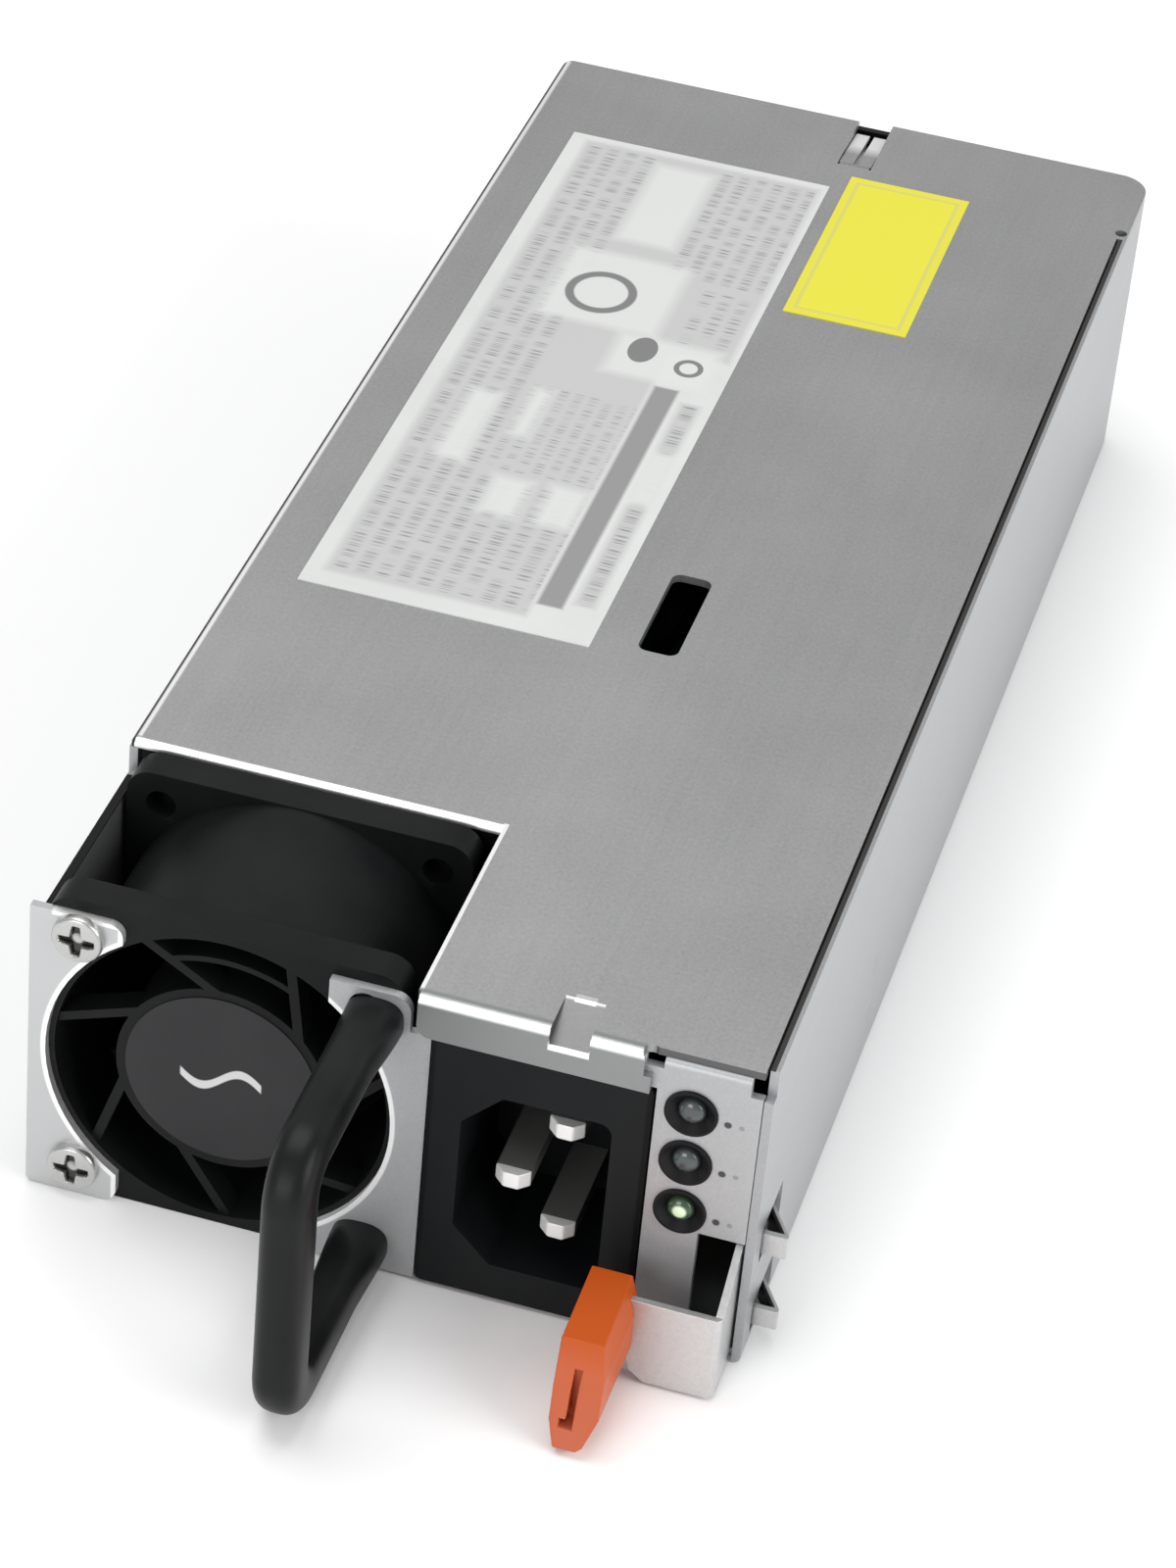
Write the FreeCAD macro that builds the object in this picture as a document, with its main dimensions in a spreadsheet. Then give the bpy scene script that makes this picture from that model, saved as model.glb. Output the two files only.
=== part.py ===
import FreeCAD, Part
import math
import os
import Sketcher
from FreeCAD import Placement, Rotation, Vector

# Hot swap power supply: a sheet steel case, 1U high, that slides into a server bay.
# Frame: +Z up, the front plate faces -Y, the origin is the centre of the case's underside.
# "across" is measured from the case's left side, "back" from its front plate.

doc = FreeCAD.newDocument("power_supply")
dims = doc.addObject("Spreadsheet::Sheet", "dims")

# alias, millimetres, what it is
cells = [
    ("width", 82, "case, side to side"),
    ("depth", 200, "case, front plate to rear grille"),
    ("height", 40, "case, underside to top"),
    ("sheet", 1, "sheet steel thickness"),
    ("seam", 0.3, "gap between the lid and the right wall"),
    ("bay_width", 43.2, "fan bay, from the left side"),
    ("bay_depth", 30, "fan bay, from the front"),
    ("fan_left", 1.6, "left side to the fan"),
    ("fan_size", 40, "fan, square"),
    ("fan_depth", 28, "fan, front to back"),
    ("fan_flange", 4, "fan's square flanges"),
    ("duct_radius", 18.9, "fan's air duct"),
    ("tip_radius", 18.4, "impeller at its blade tips"),
    ("hub_radius", 12, "fan's motor base"),
    ("opening_radius", 19.6, "air opening of the front plates"),
    ("screw_pitch", 32, "fan's screw holes"),
    ("screw_radius", 1.6, "fan screw's shank"),
    ("shaft_radius", 1.5, "fan shaft"),
    ("shaft_play", 0.04, "shaft to bearing, on the radius"),
    ("ear_reach", 10.5, "left side to the end of the left ears"),
    ("ear_start", 33.5, "left side to the start of the right ears"),
    ("ear_end", 42.6, "left side to the end of the right ears"),
    ("ear_top", 38.6, "height of the ears' top edge"),
    ("inlet_left", 45, "left side to the inlet's flange"),
    ("inlet_right", 69.4, "left side to the far side of the inlet's flange"),
    ("inlet_top", 34.8, "height of the inlet's flange"),
    ("socket_left", 49, "left side to the inlet's socket"),
    ("socket_width", 16.4, "inlet's socket, across"),
    ("socket_height", 23.4, "inlet's socket, up and down"),
    ("socket_middle", 16.8, "height of the socket's middle"),
    ("socket_depth", 16.5, "inlet's socket, front to floor"),
    ("blade_pitch", 14, "line blade to neutral blade"),
    ("blade_offset", 5, "earth blade to the line of the other two"),
    ("blade_width", 4, "contact blade"),
    ("blade_thick", 2, "contact blade"),
    ("lip_left", 43.5, "left side to the lid's front lip"),
    ("lip_right", 69, "left side to the lip's far end"),
    ("lip_drop", 5.2, "lip, top of the case down"),
    ("lamp_across", 73.5, "left side to the status lamps"),
    ("lamp_low", 19.3, "height of the lowest lamp"),
    ("lamp_pitch", 6.75, "lamp to lamp"),
    ("lamp_hole", 2.9, "radius of a lamp's hole"),
    ("gate_left", 75.7, "left side to the latch's gate in the front plate"),
    ("gate_top", 16.8, "height of the latch's gate"),
    ("leaf_thick", 0.8, "latch spring's steel"),
    ("leaf_play", 0.3, "latch spring to the wall beside it"),
    ("leaf_pivot", 56, "front plate to the latch's rivets"),
    ("tab_back", 6, "front plate to the latch's front tab"),
    ("tab_left", 70.6, "left side to the latch's front tab"),
    ("tab_top", 11.4, "height of the latch's front tab"),
    ("hook_reach", 2.7, "latch hooks beyond the right wall"),
    ("hook_back", 4.2, "front plate to the hooks' locking faces"),
    ("hook_length", 7, "hooks, front to back"),
    ("grip_left", 65.6, "left side to the latch's grip"),
    ("grip_width", 5, "grip, across"),
    ("grip_top", 13.3, "height of the grip"),
    ("handle_across", 38.7, "left side to the handle's middle"),
    ("handle_reach", 30, "handle beyond the front plate"),
    ("handle_width", 5.4, "handle bar, across"),
    ("handle_thick", 6.2, "handle arm, up and down"),
    ("handle_low", 1.3, "underside of the lower arm"),
    ("handle_bend", 4.6, "handle's corner, on its middle line"),
    ("slot_left", 47.4, "left side to the lid's slot"),
    ("slot_width", 4.8, "lid's slot"),
    ("slot_front", 68.5, "front plate to the lid's slot"),
    ("slot_length", 16.5, "lid's slot"),
    ("board_bottom", 4.4, "height of the main board's underside"),
    ("board_thick", 1.6, "main board"),
    ("edge_reach", 9, "card edge beyond the rear grille"),
    ("edge_left", 14, "left side to the card edge"),
    ("edge_width", 42, "card edge, across"),
    ("label_thick", 0.12, "labels on the lid and the fan"),
]


class Dim:
    """A length of the sheet, or one worked out from it: its number and its expression."""

    def __init__(self, number, text):
        self.number = number
        self.text = text

    def __add__(self, other):
        other = dim(other)
        return Dim(self.number + other.number, "(%s + %s)" % (self.text, other.text))

    def __sub__(self, other):
        other = dim(other)
        return Dim(self.number - other.number, "(%s - %s)" % (self.text, other.text))

    def __mul__(self, other):
        other = dim(other)
        return Dim(self.number * other.number, "(%s * %s)" % (self.text, other.text))

    def __truediv__(self, other):
        other = dim(other)
        return Dim(self.number / other.number, "(%s / %s)" % (self.text, other.text))

    def __neg__(self):
        return Dim(-self.number, "(0 - %s)" % self.text)

    def __radd__(self, other):
        return dim(other) + self

    def __rsub__(self, other):
        return dim(other) - self

    def __rmul__(self, other):
        return dim(other) * self


def dim(value):
    """A plain number as a Dim; a Dim as it is."""
    if isinstance(value, Dim):
        return value
    return Dim(float(value), "(%.6g)" % value)


def fill_sheet():
    """Writes the driving dimensions into the sheet and gives them back by alias."""
    sizes = {}
    for row, (alias, value, note) in enumerate(cells, start=1):
        dims.set("A%d" % row, str(value))
        dims.setAlias("A%d" % row, alias)
        dims.set("B%d" % row, note)
        sizes[alias] = Dim(float(value), "dims." + alias)
    doc.recompute()
    return sizes


size = fill_sheet()
sheet = size["sheet"]
left = -size["width"] / 2
right = size["width"] / 2
front = -size["depth"] / 2
rear = size["depth"] / 2
top = size["height"]
lid_under = top - sheet
fan_middle = top / 2
pieces = {}


def across(distance):
    """X at this distance from the case's left side."""
    return left + distance


def back(distance):
    """Y at this distance behind the front of the front plate."""
    return front + distance


def bind(feature, prop, value):
    feature.setExpression(prop, dim(value).text)


def piece(name, feature):
    """Records a finished sub-part under the name of its node."""
    feature.Label = name
    pieces[name] = feature
    return feature


# ---- solids made from primitives ----

def box(name, x, y, z):
    """A block between the (low, high) pairs x, y and z."""
    solid = doc.addObject("Part::Box", name)
    for prop, axis, (low, high) in zip(("Length", "Width", "Height"), "xyz", (x, y, z)):
        bind(solid, prop, dim(high) - low)
        bind(solid, "Placement.Base." + axis, low)
    return solid


turn_from_z = {
    "x": Rotation(Vector(0, 1, 0), 90),
    "y": Rotation(Vector(1, 0, 0), -90),
    "z": Rotation(),
}


def rod(name, axis, centre, span, radius):
    """A cylinder along axis; centre holds its other two coordinates, span its ends."""
    solid = doc.addObject("Part::Cylinder", name)
    solid.Placement = Placement(Vector(), turn_from_z[axis])
    others = [a for a in "xyz" if a != axis]
    bind(solid, "Radius", radius)
    bind(solid, "Height", dim(span[1]) - span[0])
    bind(solid, "Placement.Base." + axis, span[0])
    bind(solid, "Placement.Base." + others[0], centre[0])
    bind(solid, "Placement.Base." + others[1], centre[1])
    return solid


def fuse(name, solids):
    joined = doc.addObject("Part::MultiFuse", name)
    joined.Shapes = solids
    return joined


def group(name, solids):
    """Separate solids that share one node."""
    together = doc.addObject("Part::Compound", name)
    together.Links = solids
    return together


def cut(name, base, tools):
    tool = tools[0] if len(tools) == 1 else fuse(name + "_tools", tools)
    result = doc.addObject("Part::Cut", name)
    result.Base = base
    result.Tool = tool
    return result


def tube(name, axis, centre, span, outer, inner):
    return cut(name, rod(name + "_outer", axis, centre, span, outer),
               [rod(name + "_inner", axis, centre, span, inner)])


# ---- solids made from sketches ----

def new_body(name):
    return piece(name, doc.addObject("PartDesign::Body", name))


def origin_part(body, role):
    return [part for part in body.Origin.OriginFeatures if part.Role == role][0]


def new_sketch(body, plane, offset):
    """A sketch on XY at height offset, on YZ at x offset, or on XZ at y offset."""
    sketch = body.newObject("Sketcher::SketchObject", body.Name + "_sketch")
    sketch.AttachmentSupport = [(origin_part(body, plane + "_Plane"), "")]
    sketch.MapMode = "FlatFace"
    bind(sketch, "AttachmentOffset.Base.z", -dim(offset) if plane == "XZ" else offset)
    return sketch


def add_constraints(sketch, rules):
    """rules holds (kind, references, value or None); a value is bound to the sheet."""
    start = sketch.ConstraintCount
    made = []
    for kind, refs, value in rules:
        if value is None:
            made.append(Sketcher.Constraint(kind, *refs))
        else:
            made.append(Sketcher.Constraint(kind, *refs, dim(value).number))
    sketch.addConstraint(made)
    for index, (kind, refs, value) in enumerate(rules):
        if value is not None:
            sketch.setExpression("Constraints[%d]" % (start + index), dim(value).text)


def circle(sketch, u, v, radius):
    centre = Vector(dim(u).number, dim(v).number, 0)
    index = sketch.addGeometry(Part.Circle(centre, Vector(0, 0, 1), dim(radius).number))
    add_constraints(sketch, [
        ("DistanceX", (-1, 1, index, 3), u),
        ("DistanceY", (-1, 1, index, 3), v),
        ("Radius", (index,), radius),
    ])


def corner_arc(before, corner, after, radius):
    """The arc that rounds corner between the points before and after it."""
    way_in = (before - corner).normalize()
    way_out = (after - corner).normalize()
    half = way_in.getAngle(way_out) / 2
    start = corner + way_in * (radius / math.tan(half))
    end = corner + way_out * (radius / math.tan(half))
    bisector = (way_in + way_out).normalize()
    centre = corner + bisector * (radius / math.sin(half))
    middle = centre - bisector * radius
    return start, middle, end


def outline(sketch, points, closed=True):
    """Straight lines through points (u, v) or (u, v, radius).

    A point with a radius is rounded by a tangent arc, and the lines beside it are level or
    upright, so that one coordinate of the point places each of them.
    """
    corners = [Vector(dim(p[0]).number, dim(p[1]).number, 0) for p in points]
    radii = [p[2] if len(p) > 2 else None for p in points]
    count = len(points)
    arcs = {}
    for here in range(count):
        if radii[here] is not None:
            arcs[here] = corner_arc(corners[here - 1], corners[here],
                                    corners[(here + 1) % count], dim(radii[here]).number)
    lines = []
    for here in range(count if closed else count - 1):
        there = (here + 1) % count
        start = arcs[here][2] if here in arcs else corners[here]
        end = arcs[there][0] if there in arcs else corners[there]
        lines.append(sketch.addGeometry(Part.LineSegment(start, end)))
    rules = []
    for here in range(count):
        u, v = points[here][0], points[here][1]
        into = lines[here - 1] if closed or here > 0 else None
        out = lines[here] if closed or here < count - 1 else None
        if here in arcs:
            index = sketch.addGeometry(Part.Arc(*arcs[here]))
            first, last = arc_ends(sketch, index, arcs[here][0])
            rules.append(("Tangent", (into, 2, index, first), None))
            rules.append(("Tangent", (index, last, out, 1), None))
            rules.append(("Radius", (index,), radii[here]))
            continue
        if into is not None and out is not None:
            rules.append(("Coincident", (into, 2, out, 1), None))
        line, end = (out, 1) if out is not None else (into, 2)
        rules.append(("DistanceX", (-1, 1, line, end), u))
        rules.append(("DistanceY", (-1, 1, line, end), v))
    for here, line in enumerate(lines):
        there = (here + 1) % count
        if here not in arcs and there not in arcs:
            continue
        level = abs(corners[here].y - corners[there].y) < 1e-6
        rules.append(("Horizontal" if level else "Vertical", (line,), None))
        if here in arcs and there in arcs:
            kind, value = ("DistanceY", points[here][1]) if level else ("DistanceX", points[here][0])
            rules.append((kind, (-1, 1, line, 1), value))
    add_constraints(sketch, rules)


def arc_ends(sketch, index, start):
    """Which end of an arc is its start: an arc is stored turning anticlockwise."""
    near = (sketch.getPoint(index, 1) - start).Length < 1e-6
    return (1, 2) if near else (2, 1)


def rectangle(u, v, radius=None):
    """The corners of a rectangle between the (low, high) pairs u and v."""
    ends = [(u[0], v[0]), (u[1], v[0]), (u[1], v[1]), (u[0], v[1])]
    return ends if radius is None else [(a, b, radius) for a, b in ends]


def draw(sketch, loops):
    """Each loop is a list of outline points, or one (u, v, radius) tuple for a circle."""
    for loop in loops:
        if isinstance(loop, tuple):
            circle(sketch, *loop)
        else:
            outline(sketch, loop)


def pad(body, plane, span, *loops):
    """Fills the loops from span[0] to span[1] along the plane's normal."""
    low, high = dim(span[0]), dim(span[1])
    sketch = new_sketch(body, plane, high if plane == "XZ" else low)
    draw(sketch, loops)
    feature = body.newObject("PartDesign::Pad", body.Name + "_pad")
    feature.Profile = sketch
    bind(feature, "Length", high - low)
    return feature


def pocket(body, plane, span, *loops):
    """Clears the loops from span[0] to span[1] along the plane's normal."""
    low, high = dim(span[0]), dim(span[1])
    sketch = new_sketch(body, plane, low if plane == "XZ" else high)
    draw(sketch, loops)
    feature = body.newObject("PartDesign::Pocket", body.Name + "_pocket")
    feature.Profile = sketch
    bind(feature, "Length", high - low)
    return feature


def runs(axis, **at):
    """A test for straight edges, along axis if it is given, whose middle is at the coordinates."""
    def chosen(edge):
        if not isinstance(edge.Curve, (Part.Line, Part.LineSegment)):
            return False
        ends = [vertex.Point for vertex in edge.Vertexes]
        step = ends[1] - ends[0]
        if axis is not None and abs(abs(getattr(step, axis)) - step.Length) > 1e-4:
            return False
        middle = (ends[0] + ends[1]) * 0.5
        return all(abs(getattr(middle, name) - dim(value).number) < 1e-3 for name, value in at.items())
    return chosen


def round_edges(body, radius, *tests, kind="Fillet"):
    """Rounds (or chamfers) the edges that pass one of the tests."""
    doc.recompute()
    base = body.Tip
    chosen = ["Edge%d" % (number + 1) for number, edge in enumerate(base.Shape.Edges)
              if any(test(edge) for test in tests)]
    if not chosen:
        raise ValueError("no edge to round on " + body.Name)
    feature = body.newObject("PartDesign::" + kind, body.Name + "_" + kind.lower())
    feature.Base = (base, chosen)
    bind(feature, "Radius" if kind == "Fillet" else "Size", radius)
    return feature


def round_about(body, feature, axis, count):
    """Repeats a feature evenly round one of the body's own axes."""
    pattern = body.newObject("PartDesign::PolarPattern", body.Name + "_round")
    pattern.Originals = [feature]
    pattern.Axis = (origin_part(body, axis + "_Axis"), [""])
    pattern.Angle = 360
    pattern.Occurrences = count
    body.Tip = pattern
    return pattern


def place(body, x, y, z):
    """Puts a body that is drawn about its own origin where it belongs."""
    for axis, value in zip("xyz", (x, y, z)):
        bind(body, "Placement.Base." + axis, value)


fan_across = across(size["fan_left"] + size["fan_size"] / 2)
fan_front = front + sheet
bay_right = across(size["bay_width"])
bay_back = back(size["bay_depth"])
half_pitch = size["screw_pitch"] / 2


# ---- sheet metal ----

strap_top = 35.5        # left wall beside the fan
lid_corner = 183        # front plate to the corner where the lid covers the right wall
screw_hole = 1.9
bend = 0.9
corner_reach = 6        # right wall, round the rear corner
dart_across = left + 60
dart_half = 2.2
notch_depth = 1.3       # relief at the top of the right wall's front edge
hook_heights = [(2.2, 4.7), (12.4, 15.3)]
rivet_heights = [6, 13]
rivet_radius = 1.2
lid_screw_backs = [60, 160]
lid_screw_height = 35.6
lid_screw_radius = 2.4


def make_base_tray():
    """Bottom, both side walls and the left ears, folded from one sheet."""
    body = new_body("base_tray")
    pad(body, "XY", (0, sheet), [
        (bay_right, front + sheet), (right, front + sheet), (right, rear, 4), (left, rear),
        (left, bay_back), (bay_right, bay_back)])
    lid_screws = [(back(d), lid_screw_height, lid_screw_radius) for d in lid_screw_backs]
    pad(body, "YZ", (left, left + sheet), [
        (front, 0), (rear, 0), (rear, lid_under), (bay_back, lid_under),
        (bay_back, strap_top), (front, strap_top)], *lid_screws)
    window = (back(size["hook_back"] - 0.8), back(size["hook_back"] + size["hook_length"] + 1.2))
    windows = [rectangle(window, (low - 0.7, high + 0.9)) for low, high in hook_heights]
    rivets = [(back(size["leaf_pivot"]), height, rivet_radius) for height in rivet_heights]
    pad(body, "YZ", (right - sheet, right), [
        (front, 0), (rear - corner_reach, 0), (rear - corner_reach, lid_under),
        (back(lid_corner), lid_under), (back(lid_corner), top), (back(notch_depth), top),
        (back(notch_depth), top - 3.4), (front, top - 3.4)], *windows, *rivets)
    pad(body, "XY", (0, lid_under), [
        (right - sheet, rear - corner_reach), (right, rear - corner_reach), (right, rear, 4),
        (right - corner_reach, rear), (right - corner_reach, rear - sheet), (right - sheet, rear - sheet, 3)])
    ear_end = across(size["ear_reach"])
    pad(body, "XZ", (front, front + sheet), rectangle((left, ear_end), (0, size["ear_top"])))
    pocket(body, "XZ", (front, front + sheet), (fan_across, fan_middle, size["opening_radius"]))
    pocket(body, "XZ", (front, front + sheet),
           (fan_across - half_pitch, fan_middle - half_pitch, screw_hole),
           (fan_across - half_pitch, fan_middle + half_pitch, screw_hole))
    round_edges(body, 1.6, runs("y", x=ear_end, z=size["ear_top"]), runs("y", x=ear_end, z=0))
    round_edges(body, bend, runs("y", x=left, z=0), runs("y", x=right, z=0))
    return body


def make_top_cover():
    """Lid with its front lip over the inlet, its turned-down edges and its slot."""
    body = new_body("top_cover")
    lip_left = across(size["lip_left"])
    lip_right = across(size["lip_right"])
    lid_right = right - sheet - size["seam"]
    slot_left = across(size["slot_left"])
    slot_front = back(size["slot_front"])
    slot = rectangle((slot_left, slot_left + size["slot_width"]),
                     (slot_front, slot_front + size["slot_length"]), 1.2)
    pad(body, "XY", (lid_under, top), [
        (bay_right, front + 0.2), (lip_left, front + 0.2), (lip_left, front - sheet),
        (lip_right, front - sheet), (lip_right, front + 0.6), (lid_right, front + 0.6),
        (lid_right, back(lid_corner)), (right, back(lid_corner)), (right, rear, 4),
        (left, rear, 1.5), (left, bay_back), (bay_right, bay_back)], slot)
    lip_low = top - size["lip_drop"]
    pad(body, "XZ", (front - sheet, front), [
        (lip_left, lip_low, 1.5), (lip_right, lip_low), (lip_right, top), (lip_left, top)])
    skirt = (top - 7, top)
    pad(body, "XZ", (bay_back, bay_back + sheet), rectangle((left + 1.5 * sheet, bay_right), skirt))
    pad(body, "YZ", (lid_right - sheet, lid_right), rectangle((back(9), back(180)), skirt))
    pad(body, "YZ", (left + sheet, left + 2 * sheet), rectangle((back(33), back(196)), skirt),
        *[(back(d), lid_screw_height, 1.4) for d in lid_screw_backs])
    ramp_left = across(42)
    ramp_right = across(46)
    ramp_front = back(187)
    pocket(body, "XY", (lid_under, top),
           rectangle((ramp_left - 0.3, ramp_right + 0.3), (ramp_front, rear + 1)))
    pad(body, "YZ", (ramp_left, ramp_right), [
        (ramp_front, lid_under), (ramp_front, top), (back(197.6), top - 2.4), (back(197.2), top - 3.4)])
    slit_left = across(43.6)
    pocket(body, "XY", (top - 4, top), rectangle((slit_left, slit_left + 0.9), (back(188.5), rear)))
    round_edges(body, 1.1, runs("x", y=front - sheet, z=top))
    round_edges(body, 0.8, runs("x", y=bay_back, z=top))
    round_edges(body, 0.8, runs("y", x=left, z=top))
    relief = (lip_right - 0.3, front - 0.2, 0.95)
    pocket(body, "XY", (top - 3, top), relief, (lid_right + 0.3, back(lid_corner + 1.6), 0.8))
    press_dart(body)
    return body


def press_dart(body):
    """A pressed dart that stiffens the lip's bend: a hollow outside and its web inside."""
    hollow = (dart_across - dart_half, dart_across + dart_half)
    pad(body, "YZ", (hollow[0] - 0.7, hollow[1] + 0.7), [
        (front - 0.2, lid_under + 0.2), (front + 5.8, lid_under + 0.2), (front - 0.2, top - 3.3)])
    pocket(body, "YZ", hollow, [
        (front - sheet - 0.2, top + 0.2), (front + 5.6, top + 0.2), (front - sheet - 0.2, top - 2.6)])


def make_face_plate():
    """Right half of the front: right ears, lamp panel, inlet notch and latch gate."""
    body = new_body("face_plate")
    low = 0.3
    plate_right = right - sheet - 0.1
    lip_side = across(size["lip_left"]) + 0.1
    inlet_left = across(size["inlet_left"])
    inlet_right = across(size["inlet_right"]) + 0.2
    inlet_top = size["inlet_top"] + 0.2
    ear_start = across(size["ear_start"])
    ear_end = across(size["ear_end"])
    neck = 34.2
    relief_right = across(size["lip_right"]) + 1.1
    gate_left = across(size["gate_left"])
    gate_top = size["gate_top"]
    lamp_across = across(size["lamp_across"])
    lamp_radius = size["lamp_hole"] + 0.02
    lamps = [(lamp_across, size["lamp_low"] + n * size["lamp_pitch"], lamp_radius) for n in range(3)]
    pad(body, "XZ", (front, front + sheet), [
        (ear_start, low), (inlet_left, low), (inlet_left, inlet_top), (inlet_right, inlet_top),
        (inlet_right, low), (gate_left, low), (gate_left, gate_top), (plate_right, gate_top),
        (plate_right, lid_under - 2.2), (plate_right - 1.4, lid_under - 2.2), (plate_right - 1.4, lid_under),
        (relief_right, lid_under), (relief_right, lid_under - 1.2), (relief_right - 2, lid_under - 1.2),
        (relief_right - 2, lid_under), (dart_across + dart_half + 0.9, lid_under),
        (dart_across + dart_half + 0.9, top - 3.5), (dart_across - dart_half - 0.9, top - 3.5),
        (dart_across - dart_half - 0.9, lid_under), (lip_side, lid_under), (lip_side, neck), (ear_end, neck),
        (ear_end, size["ear_top"], 2), (ear_start, size["ear_top"])], *lamps)
    pocket(body, "XZ", (front, front + sheet), (fan_across, fan_middle, size["opening_radius"]))
    pocket(body, "XZ", (front, front + sheet),
           (fan_across + half_pitch, fan_middle - half_pitch, screw_hole),
           (fan_across + half_pitch, fan_middle + half_pitch, screw_hole))
    flange_right = right - 2 * sheet - size["seam"] - 0.3
    pad(body, "XY", (lid_under - sheet, lid_under),
        rectangle((relief_right, flange_right), (front, back(8))))
    round_edges(body, 0.8, runs("x", y=front, z=lid_under))
    return body


def make_rear_grille():
    """Rear wall: a honeycomb for the air and an opening for the card edge."""
    body = new_body("rear_grille")
    edge_left = across(size["edge_left"])
    opening = rectangle((edge_left - 0.6, edge_left + size["edge_width"] + 0.6),
                        (size["board_bottom"] - 1, size["board_bottom"] + size["board_thick"] + 1.4))
    pad(body, "XZ", (rear - sheet, rear),
        rectangle((left + sheet, right - corner_reach), (sheet, lid_under)), opening)
    pitch = 5.4
    radius = 2.4
    first = across(8.5)
    low = 12.5
    rise = pitch * math.cos(math.pi / 6)
    cells_here = [(first, low + row * pitch) for row in range(5)]
    cells_here += [(first + rise, low + (row + 0.5) * pitch) for row in range(4)]
    hexagons = []
    for u, v in cells_here:
        hexagons.append([(u + radius * math.cos(k * math.pi / 3), v + radius * math.sin(k * math.pi / 3))
                         for k in range(6)])
    column = pocket(body, "XZ", (rear - sheet, rear), *hexagons)
    row = body.newObject("PartDesign::LinearPattern", "grille_row")
    row.Originals = [column]
    row.Direction = (origin_part(body, "X_Axis"), [""])
    row.Occurrences = 7
    row.Length = 2 * rise * 6
    body.Tip = row
    return body


def screw(name, axis, centre, face, head, shank, outward=-1):
    """A pan head screw: its head stands on face and its shank goes the other way.

    head is (radius, height), shank is (radius, length).
    """
    head_radius, head_height = head
    shank_radius, length = shank
    head_span = (face - head_height, face) if outward < 0 else (face, face + head_height)
    shank_span = (face, face + length) if outward < 0 else (face - length, face)
    return fuse(name, [rod(name + "_head", axis, centre, head_span, head_radius),
                       rod(name + "_shank", axis, centre, shank_span, shank_radius)])


def make_fan_screws():
    """The two pan head screws of the left ears, with their cross recesses."""
    made = []
    for sign in (-1, 1):
        name = "fan_screw_low" if sign < 0 else "fan_screw_high"
        x = fan_across - half_pitch
        z = fan_middle + sign * half_pitch
        solid = screw(name + "_blank", "y", (x, z), front, (2.9, 1.3), (size["screw_radius"], 4.8))
        cross = [box(name + "_bar", (x - 1.8, x + 1.8), (front - 2, front - 0.5), (z - 0.45, z + 0.45)),
                 box(name + "_post", (x - 0.45, x + 0.45), (front - 2, front - 0.5), (z - 1.8, z + 1.8))]
        made.append(cut(name, solid, cross))
    piece("fan_screws", group("fan_screws", made))


def make_handle_screws():
    """Two screws, from behind the fan's front flange through the face plate into the handle's feet."""
    made = []
    seat = fan_front + size["fan_flange"]
    for sign in (-1, 1):
        name = "handle_screw_low" if sign < 0 else "handle_screw_high"
        centre = (fan_across + half_pitch, fan_middle + sign * half_pitch)
        made.append(screw(name, "y", centre, seat, (2.4, 1.6), (1.45, size["fan_flange"] + sheet + 6), 1))
    piece("handle_screws", group("handle_screws", made))


def make_cover_screws():
    """Flush screws that hold the lid's skirt behind the left wall."""
    made = []
    for number, distance in enumerate(lid_screw_backs):
        centre = (back(distance), lid_screw_height)
        name = "cover_screw_%d" % (number + 1)
        made.append(screw(name, "x", centre, left + sheet, (lid_screw_radius, 0.9), (1.4, 4)))
    piece("cover_screws", group("cover_screws", made))


# ---- handle ----

handle_middle = across(size["handle_across"])
handle_low = size["handle_low"] + size["handle_thick"] / 2
handle_high = top - handle_low
handle_front = front - size["handle_reach"] + size["handle_thick"] / 2
foot_length = 10
foot_heights = (3.4, 35.2)      # middles of the lower and the upper foot


def handle_section(v):
    """The bar's rounded outline; v is the middle of its thickness."""
    half_width = size["handle_width"] / 2
    half_thick = size["handle_thick"] / 2
    return rectangle((handle_middle - half_width, handle_middle + half_width),
                     (v - half_thick, v + half_thick), 2.3)


def handle_bend(body, height, turn):
    """A quarter turn of the section about a line along X, from the upright bar to an arm."""
    sketch = new_sketch(body, "XY", height)
    bind(sketch, "AttachmentOffset.Base.y", handle_front + size["handle_bend"])
    outline(sketch, handle_section(-size["handle_bend"]))
    bent = body.newObject("PartDesign::Revolution", "handle_bend")
    bent.Profile = sketch
    bent.ReferenceAxis = (sketch, ["H_Axis"])
    bent.Angle = 90
    bent.Reversed = turn < 0
    doc.recompute()


def make_handle():
    """A D-shaped pull: one bar bent twice, its arms widened into feet at the face plate."""
    body = new_body("pull_handle")
    bend_heights = (handle_low + size["handle_bend"], handle_high - size["handle_bend"])
    pad(body, "XY", bend_heights, handle_section(handle_front))
    for arm, height, turn, foot_height in zip((handle_low, handle_high), bend_heights, (1, -1), foot_heights):
        handle_bend(body, height, turn)
        pad(body, "XZ", (handle_front + size["handle_bend"], front - foot_length), handle_section(arm))
        foot = new_sketch(body, "XZ", front)
        outline(foot, rectangle((handle_middle - 3.2, handle_middle + 3.1),
                                (foot_height - 2.95, foot_height + 2.95), 2.4))
        neck = new_sketch(body, "XZ", front - foot_length)
        outline(neck, handle_section(arm))
        taper = body.newObject("PartDesign::AdditiveLoft", "handle_foot")
        taper.Profile = foot
        taper.Sections = [neck]
        taper.Ruled = True
        doc.recompute()
    screws = [(fan_across + half_pitch, fan_middle + sign * half_pitch, 1.5) for sign in (-1, 1)]
    pocket(body, "XZ", (front - 7, front), *screws)
    return body


# ---- fan ----

motor_base = (0.5, 3.5)         # from the fan's front face
bearing_radius = 4


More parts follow.
